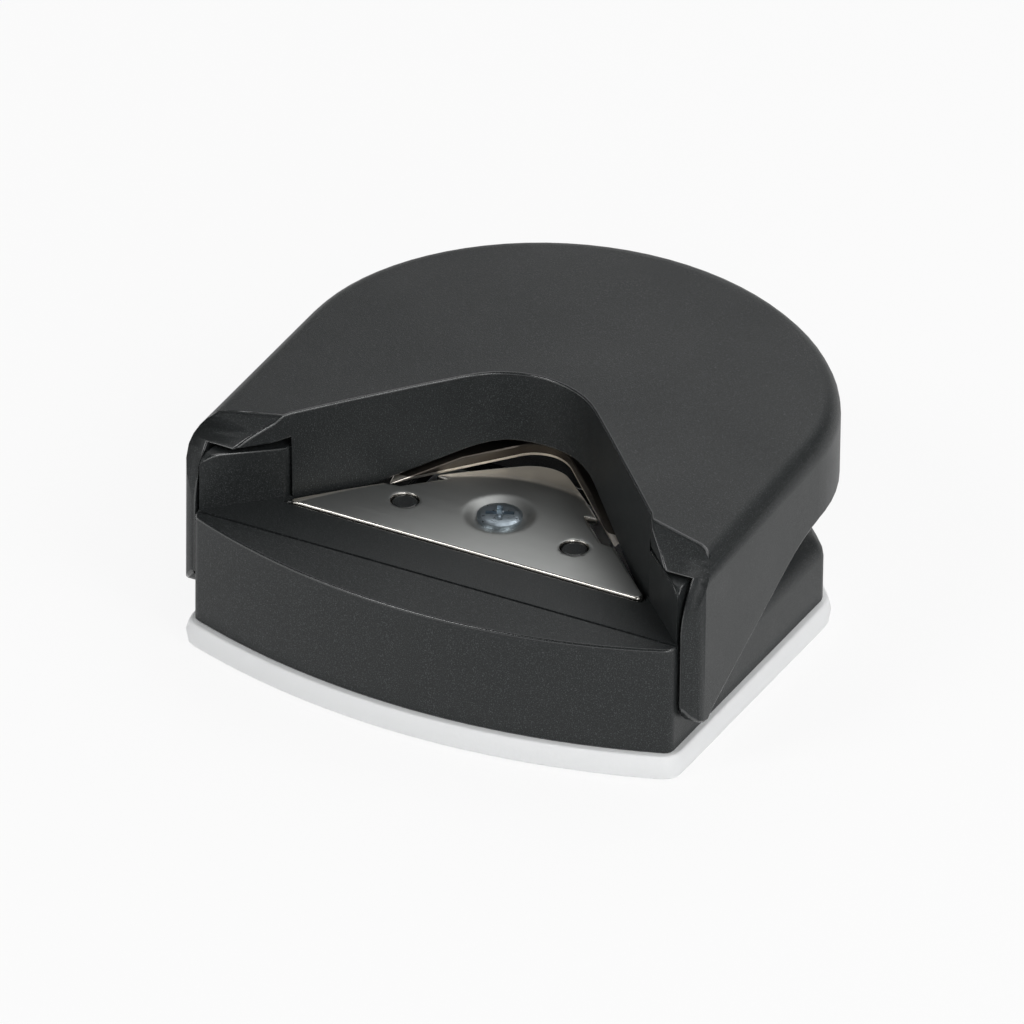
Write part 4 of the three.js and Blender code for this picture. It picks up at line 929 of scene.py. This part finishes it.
    whole = add_node(tree, "GeometryNodeJoinGeometry")
    for piece in (wound.outputs["Geometry"], shank.outputs["Geometry"], head):
        link(tree, piece, whole.inputs["Geometry"])
    tilt = add_node(tree, "ShaderNodeCombineXYZ")
    link(tree, value["Tilt"], tilt.inputs["X"])
    spread = add_node(tree, "GeometryNodeInstanceOnPoints")
    link(tree, value["Geometry"], spread.inputs["Points"])
    link(tree, whole.outputs["Geometry"], spread.inputs["Instance"])
    link(tree, tilt.outputs[0], spread.inputs["Rotation"])
    end_tree(tree, given, result, spread.outputs["Instances"])
    return tree


SCREW_TREE = screw_tree()

zinc_plate = metal(
    "Bright Zinc Plate",
    0.00003,
    Colour=(0.46, 0.53, 0.58, 1),
    Cloud_Colour=(0.30, 0.35, 0.39, 1),
    Streak_Width=0.0005,
    Streak_Stretch=1.0,
    Cloud_Size=0.0005,
    Roughness=0.33,
    Roughness_Change=0.2,
)


def screws_at(name, seats, length, turn, tilt):
    """One piece with a screw on each seat, the cross turned and the screw tilted alike."""
    mesh = bpy.data.meshes.new(name)
    mesh.from_pydata(seats, [], [])
    piece = place_object(name, mesh)
    driven = piece.modifiers.new("Screws on their seats", "NODES")
    driven.node_group = SCREW_TREE
    set_inputs(driven, Length=length, Recess_Turn=turn, Tilt=tilt, Material=zinc_plate)
    settle(piece, SCREW_SMOOTH_TURN)
    return piece


die_screw = screws_at(
    "Die_plate_screw",
    [(0, DISH_PLACE, PLATE_TOP - DISH_DEPTH)],
    DIE_SCREW_LENGTH,
    DIE_SCREW_TURN,
    0.0,
)
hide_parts("die_plate_screw")
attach(die_screw, "base")


# Pivot rod. A plain turned rod with broken corners; it lies in the base's bearings
# and its ends turn in blind sockets in the lever's lobes.

rod_low, rod_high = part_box("pivot_rod")
ROD_RADIUS = (rod_high[2] - rod_low[2]) / 2
ROD_CORNER = 0.0003
ROD_SIDES = 48

drawn_steel = metal(
    "Drawn Steel Rod",
    0.000003,
    Colour=(0.56, 0.58, 0.60, 1),
    Cloud_Colour=(0.42, 0.43, 0.44, 1),
    Streak_Width=0.0002,
    Streak_Stretch=0.02,
    Cloud_Size=0.003,
    Roughness=0.26,
    Roughness_Change=0.15,
)


def rod_mesh():
    """The rod along the punch's width, the rims of its ends broken."""
    work = bmesh.new()
    middle = (Vector(rod_low) + Vector(rod_high)) / 2
    bmesh.ops.create_cone(
        work,
        cap_ends=True,
        segments=ROD_SIDES,
        radius1=ROD_RADIUS,
        radius2=ROD_RADIUS,
        depth=rod_high[0] - rod_low[0],
        matrix=Matrix.Translation(middle) @ Matrix.Rotation(math.pi / 2, 4, "Y"),
    )
    rims = [edge for edge in work.edges if len({round(v.co.x, 6) for v in edge.verts}) == 1]
    bmesh.ops.bevel(work, geom=rims, offset=ROD_CORNER, segments=2, affect="EDGES")
    mesh = bpy.data.meshes.new("Pivot_rod")
    work.to_mesh(mesh)
    work.free()
    mesh.materials.append(drawn_steel)
    return mesh


rod = place_object("Pivot_rod", rod_mesh())
settle(rod)
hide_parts("pivot_rod")
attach(rod, "base")


# Return spring. Hard-drawn wire wound into six turns, the first and last nearly
# closed. It stands on the deck's post and pushes the lever up again after a cut.

spring_low, spring_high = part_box("return_spring")
SPRING_PLACE = 0.040
SPRING_WIRE = 0.001
SPRING_COIL = 0.0045
SPRING_TURNS = 6.0
SPRING_CLOSED_PITCH = 0.00145
SPRING_STEPS = 40
WIRE_SIDES = 14
SPRING_SMOOTH_TURN = math.radians(60)


def spring_tree():
    """A helix whose first and last turn lie closer than the turns between them."""
    tree, given, result = new_geometry_tree(
        "Return Spring",
        [
            ("Turns", "NodeSocketFloat", SPRING_TURNS),
            ("Steps", "NodeSocketInt", SPRING_STEPS),
            ("Coil Radius", "NodeSocketFloat", SPRING_COIL),
            ("Wire Diameter", "NodeSocketFloat", SPRING_WIRE),
            ("Closed Pitch", "NodeSocketFloat", SPRING_CLOSED_PITCH),
            ("Foot", "NodeSocketFloat", None),
            ("Head", "NodeSocketFloat", None),
            ("Place", "NodeSocketFloat", SPRING_PLACE),
            ("Material", "NodeSocketMaterial", None),
        ],
    )
    value = given.outputs
    count = maths(tree, "MULTIPLY_ADD", value["Turns"], value["Steps"], 1.0)
    line = add_node(tree, "GeometryNodeMeshLine", mode="OFFSET")
    link(tree, count, line.inputs["Count"])
    index = add_node(tree, "GeometryNodeInputIndex")
    turn = maths(tree, "DIVIDE", index.outputs[0], value["Steps"])
    angle = maths(tree, "MULTIPLY", turn, 2 * math.pi)
    spot = add_node(tree, "ShaderNodeCombineXYZ")
    link(
        tree,
        maths(tree, "MULTIPLY", maths(tree, "COSINE", angle), value["Coil Radius"]),
        spot.inputs["X"],
    )
    link(
        tree,
        maths(
            tree,
            "MULTIPLY_ADD",
            maths(tree, "SINE", angle),
            value["Coil Radius"],
            value["Place"],
        ),
        spot.inputs["Y"],
    )
    start = maths(tree, "MULTIPLY_ADD", value["Wire Diameter"], 0.5, value["Foot"])
    finish = maths(tree, "MULTIPLY_ADD", value["Wire Diameter"], -0.5, value["Head"])
    rise = maths(tree, "SUBTRACT", finish, start)
    open_rise = maths(tree, "MULTIPLY_ADD", value["Closed Pitch"], -2.0, rise)
    open_turns = maths(tree, "SUBTRACT", value["Turns"], 2.0)
    open_pitch = maths(tree, "DIVIDE", open_rise, open_turns)
    first = maths(tree, "MINIMUM", turn, 1.0)
    middle = maths(tree, "SUBTRACT", turn, 1.0)
    middle = maths(tree, "MAXIMUM", middle, 0.0)
    middle = maths(tree, "MINIMUM", middle, open_turns)
    last = maths(tree, "SUBTRACT", turn, maths(tree, "ADD", open_turns, 1.0))
    last = maths(tree, "MAXIMUM", last, 0.0)
    closed = maths(
        tree,
        "MULTIPLY_ADD",
        maths(tree, "ADD", first, last),
        value["Closed Pitch"],
        start,
    )
    link(tree, maths(tree, "MULTIPLY_ADD", middle, open_pitch, closed), spot.inputs["Z"])
    wound = add_node(tree, "GeometryNodeSetPosition")
    link(tree, line.outputs["Mesh"], wound.inputs["Geometry"])
    link(tree, spot.outputs[0], wound.inputs["Position"])
    curve = add_node(tree, "GeometryNodeMeshToCurve")
    link(tree, wound.outputs["Geometry"], curve.inputs["Mesh"])
    section = add_node(tree, "GeometryNodeCurvePrimitiveCircle", mode="RADIUS")
    section.inputs["Resolution"].default_value = WIRE_SIDES
    link(tree, maths(tree, "MULTIPLY", value["Wire Diameter"], 0.5), section.inputs["Radius"])
    tube = add_node(tree, "GeometryNodeCurveToMesh")
    tube.inputs["Fill Caps"].default_value = True
    link(tree, curve.outputs["Curve"], tube.inputs["Curve"])
    link(tree, section.outputs["Curve"], tube.inputs["Profile Curve"])
    end_tree(tree, given, result, tube.outputs["Mesh"])
    return tree


spring_wire = metal(
    "Hard-drawn Spring Wire",
    0.000003,
    Colour=(0.45, 0.46, 0.47, 1),
    Cloud_Colour=(0.30, 0.30, 0.31, 1),
    Streak_Width=0.0003,
    Streak_Stretch=1.0,
    Cloud_Size=0.002,
    Roughness=0.28,
    Roughness_Change=0.15,
)
spring = place_object("Return_spring", bpy.data.meshes.new("Return_spring"))
winding = spring.modifiers.new("Winding", "NODES")
winding.node_group = spring_tree()
set_inputs(
    winding,
    Foot=float(spring_low[2]),
    Head=float(spring_high[2]),
    Material=spring_wire,
)
settle(spring, SPRING_SMOOTH_TURN)
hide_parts("return_spring")
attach(spring, "base")
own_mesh(spring)


# Lever. One crowned moulding in the same black ABS: two lobes that reach down over the
# base onto the rod, the V throat with its upright wall, and the rising rear skirt.

LEVER_EDGE = 0.00024
LEVER_LIFT = math.radians(5.4)
NOSE_ASIDE = 0.0291
NOSE_BACK = 0.0057
NOSE_FOOT = 0.0168

cover_grain = black_abs("Black ABS, cover grain", **ABS_FACE)


def lobe_nose(middle):
    """The outer front edge of each lobe, which runs out smoothly into the shoulder."""
    return abs(middle.x) > NOSE_ASIDE and middle.y < NOSE_BACK and middle.z > NOSE_FOOT


lever = rounded_copy(
    "Lever_cover",
    "lever_cover",
    LEVER_EDGE,
    [cover_grain, moulded_edge],
    blended=lobe_nose,
)
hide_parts("lever_cover")
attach(lever, "lever")


# Moving blade. Hardened steel, coloured a dark brown-black, with a bright ground
# edge; it hangs under the lever and passes close behind the die plate's nose.

BLADE_EDGE = 0.00012
BLADE_EDGE_LEVEL = 0.0156
BLADE_EDGE_PLACE = 0.020
BLADE_LAND = 0.0004
GROUND_TINT = (0.82, 0.77, 0.70, 1)

dark_steel = metal(
    "Hardened Dark Steel",
    0.000004,
    Colour=(0.10, 0.088, 0.076, 1),
    Cloud_Colour=(0.06, 0.052, 0.045, 1),
    Streak_Width=0.0003,
    Streak_Stretch=0.05,
    Cloud_Size=0.004,
    Roughness=0.40,
    Roughness_Change=0.15,
)


def grind_land(material):
    """A bright ground land along the lower edge of the blade, which leans with the lever."""
    tree = material.node_tree
    shader = tree.nodes["Principled BSDF"]
    surface = next(node for node in tree.nodes if node.type == "GROUP")
    place = add_node(tree, "ShaderNodeTexCoord")
    parts = add_node(tree, "ShaderNodeSeparateXYZ")
    link(tree, place.outputs["Object"], parts.inputs[0])
    lean = -math.tan(LEVER_LIFT)
    height = maths(tree, "MULTIPLY_ADD", parts.outputs["Y"], lean, parts.outputs["Z"])
    bottom = BLADE_EDGE_LEVEL + lean * BLADE_EDGE_PLACE
    height = maths(tree, "SUBTRACT", height, bottom + BLADE_LAND)
    land = maths(tree, "LESS_THAN", height, 0.0)
    mix = add_node(tree, "ShaderNodeMix", data_type="RGBA")
    mix.inputs["B"].default_value = GROUND_TINT
    link(tree, land, mix.inputs["Factor"])
    link(tree, surface.outputs["Colour"], mix.inputs["A"])
    link(tree, mix.outputs["Result"], shader.inputs["Base Color"])


grind_land(dark_steel)
blade = rounded_copy("Moving_blade", "moving_blade", BLADE_EDGE, [dark_steel], steps=1)
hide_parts("moving_blade")
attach(blade, "lever")


# Blade screws. The same cross-head screws as the die plate's, one millimetre shorter,
# driven up through the blade into the lever's two bosses.

BLADE_SCREW_LENGTH = 0.005
BLADE_SCREW_TURN = math.radians(20)


def blade_seat(node):
    """The point on a screw's axis where its head meets the blade."""
    low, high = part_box(node)
    middle = (Vector(low) + Vector(high)) / 2
    away = Vector((0, -math.sin(LEVER_LIFT), math.cos(LEVER_LIFT)))
    whole = BLADE_SCREW_LENGTH + SCREW_HEAD_HEIGHT
    return tuple(middle - away * (whole / 2 - SCREW_HEAD_HEIGHT))


blade_screws = screws_at(
    "Blade_screws",
    [blade_seat("blade_screw_left"), blade_seat("blade_screw_right")],
    BLADE_SCREW_LENGTH,
    BLADE_SCREW_TURN,
    math.pi + LEVER_LIFT,
)
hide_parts("blade_screw_left", "blade_screw_right")
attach(blade_screws, "lever")


# Floor, light and camera. A white studio table that runs out of sight, a white room
# with soft lamps, and a long lens at the photograph's angle.

FLOOR_LEVEL = -0.0002
FLOOR_REACH = 3.0
FLOOR_GREY = (0.86, 0.86, 0.86, 1)
FLOOR_WHITE_SHARE = 0.88
floor_corners = [(-1, -1), (1, -1), (1, 1), (-1, 1)]

floor_mesh = bpy.data.meshes.new("Studio_floor")
floor_mesh.from_pydata(
    [(x * FLOOR_REACH, y * FLOOR_REACH, FLOOR_LEVEL) for x, y in floor_corners],
    [],
    [(0, 1, 2, 3)],
)
floor = place_object("Studio_floor", floor_mesh)

floor_paint, floor_tree, floor_shader = new_material("Studio Floor")
floor_shader.inputs["Base Color"].default_value = FLOOR_GREY
floor_shader.inputs["Roughness"].default_value = 0.9
rays = add_node(floor_tree, "ShaderNodeLightPath")
seen = maths(
    floor_tree,
    "MAXIMUM",
    rays.outputs["Is Camera Ray"],
    maths(
        floor_tree,
        "MAXIMUM",
        rays.outputs["Is Glossy Ray"],
        rays.outputs["Is Transmission Ray"],
    ),
)
glow = add_node(floor_tree, "ShaderNodeEmission")
glow.inputs["Strength"].default_value = 1.0
blend = add_node(floor_tree, "ShaderNodeMixShader")
white_share = maths(floor_tree, "MULTIPLY", seen, FLOOR_WHITE_SHARE)
link(floor_tree, white_share, blend.inputs[0])
link(floor_tree, floor_shader.outputs["BSDF"], blend.inputs[1])
link(floor_tree, glow.outputs["Emission"], blend.inputs[2])
link(floor_tree, blend.outputs["Shader"], floor_tree.nodes["Material Output"].inputs["Surface"])
floor_mesh.materials.append(floor_paint)

ROOM_DARK_FROM = 0.06
ROOM_DARK_AT = 0.18
ROOM_CEILING = 0.06

world = bpy.data.worlds.new("White Room")
bpy.context.scene.world = world
world.use_nodes = True
room = world.node_tree
way = add_node(room, "ShaderNodeTexCoord")
heights = add_node(room, "ShaderNodeSeparateXYZ")
link(room, way.outputs["Generated"], heights.inputs[0])
shade = add_node(room, "ShaderNodeMapRange", interpolation_type="SMOOTHSTEP")
shade.inputs["From Min"].default_value = ROOM_DARK_FROM
shade.inputs["From Max"].default_value = ROOM_DARK_AT
shade.inputs["To Min"].default_value = 1.0
shade.inputs["To Max"].default_value = ROOM_CEILING
link(room, heights.outputs["Z"], shade.inputs["Value"])
link(room, shade.outputs["Result"], room.nodes["Background"].inputs["Strength"])
room.nodes["Background"].inputs["Color"].default_value = (1, 1, 1, 1)

LAMP_TARGET = Vector((0, 0.022, 0.012))
LAMP_AWAY = 0.9


def towards(azimuth, elevation):
    """The direction from the punch at an azimuth from its front and a height above it."""
    return Vector(
        (
            math.sin(azimuth) * math.cos(elevation),
            -math.cos(azimuth) * math.cos(elevation),
            math.sin(elevation),
        )
    )


def soft_box(name, azimuth, elevation, width, strength):
    """A square lamp that faces the punch; its power follows from its size and strength."""
    light = bpy.data.lights.new(name, "AREA")
    light.shape = "SQUARE"
    light.size = width
    light.energy = strength * math.pi * width * width
    lamp = place_object(name, light)
    way_out = towards(math.radians(azimuth), math.radians(elevation))
    lamp.location = LAMP_TARGET + way_out * LAMP_AWAY
    lamp.rotation_euler = (-way_out).to_track_quat("-Z", "Y").to_euler()


soft_box("Front left lamp", 320, 14, 0.5, 0.9)
soft_box("Left lamp", 288, 10, 0.35, 0.9)
soft_box("Front right lamp", 45, 20, 0.6, 0.8)
soft_box("Right lamp", 78, 38, 0.7, 1.2)
soft_box("Back lamp", 195, 40, 0.7, 1.1)
soft_box("Ceiling lamp", 155, 66, 0.7, 1.3)
soft_box("Left rim lamp", 328, 44, 0.28, 6.5)
soft_box("Right rim lamp", 68, 42, 0.25, 6.5)
soft_box("Front rim lamp", 36, 20, 0.2, 6.5)

CAMERA_AZIMUTH = math.radians(27.211)
CAMERA_ELEVATION = math.radians(31.233)
CAMERA_ROLL = math.radians(0.743)
CAMERA_REACH = 1.994
CAMERA_LENS = 665.3
CAMERA_SENSOR = 36
CAMERA_SHIFT = (-0.01653, -0.00295)
CAMERA_FARTHEST = 20
CAMERA_AIM = Vector((0, 0.022, 0.0127))

backward = towards(CAMERA_AZIMUTH, CAMERA_ELEVATION)
level = Vector((math.cos(CAMERA_AZIMUTH), math.sin(CAMERA_AZIMUTH), 0))
upward = backward.cross(level)
turned_right = level * math.cos(CAMERA_ROLL) + upward * math.sin(CAMERA_ROLL)
turned_up = upward * math.cos(CAMERA_ROLL) - level * math.sin(CAMERA_ROLL)
lens = bpy.data.cameras.new("Camera")
lens.lens = CAMERA_LENS
lens.sensor_width = CAMERA_SENSOR
lens.shift_x = CAMERA_SHIFT[0]
lens.shift_y = CAMERA_SHIFT[1]
lens.clip_end = CAMERA_FARTHEST
camera = place_object("Camera", lens)
camera.matrix_world = Matrix.Translation(CAMERA_AIM + backward * CAMERA_REACH) @ (
    Matrix((turned_right, turned_up, backward)).transposed().to_4x4()
)
bpy.context.scene.camera = camera
bpy.context.scene.view_settings.view_transform = "Standard"
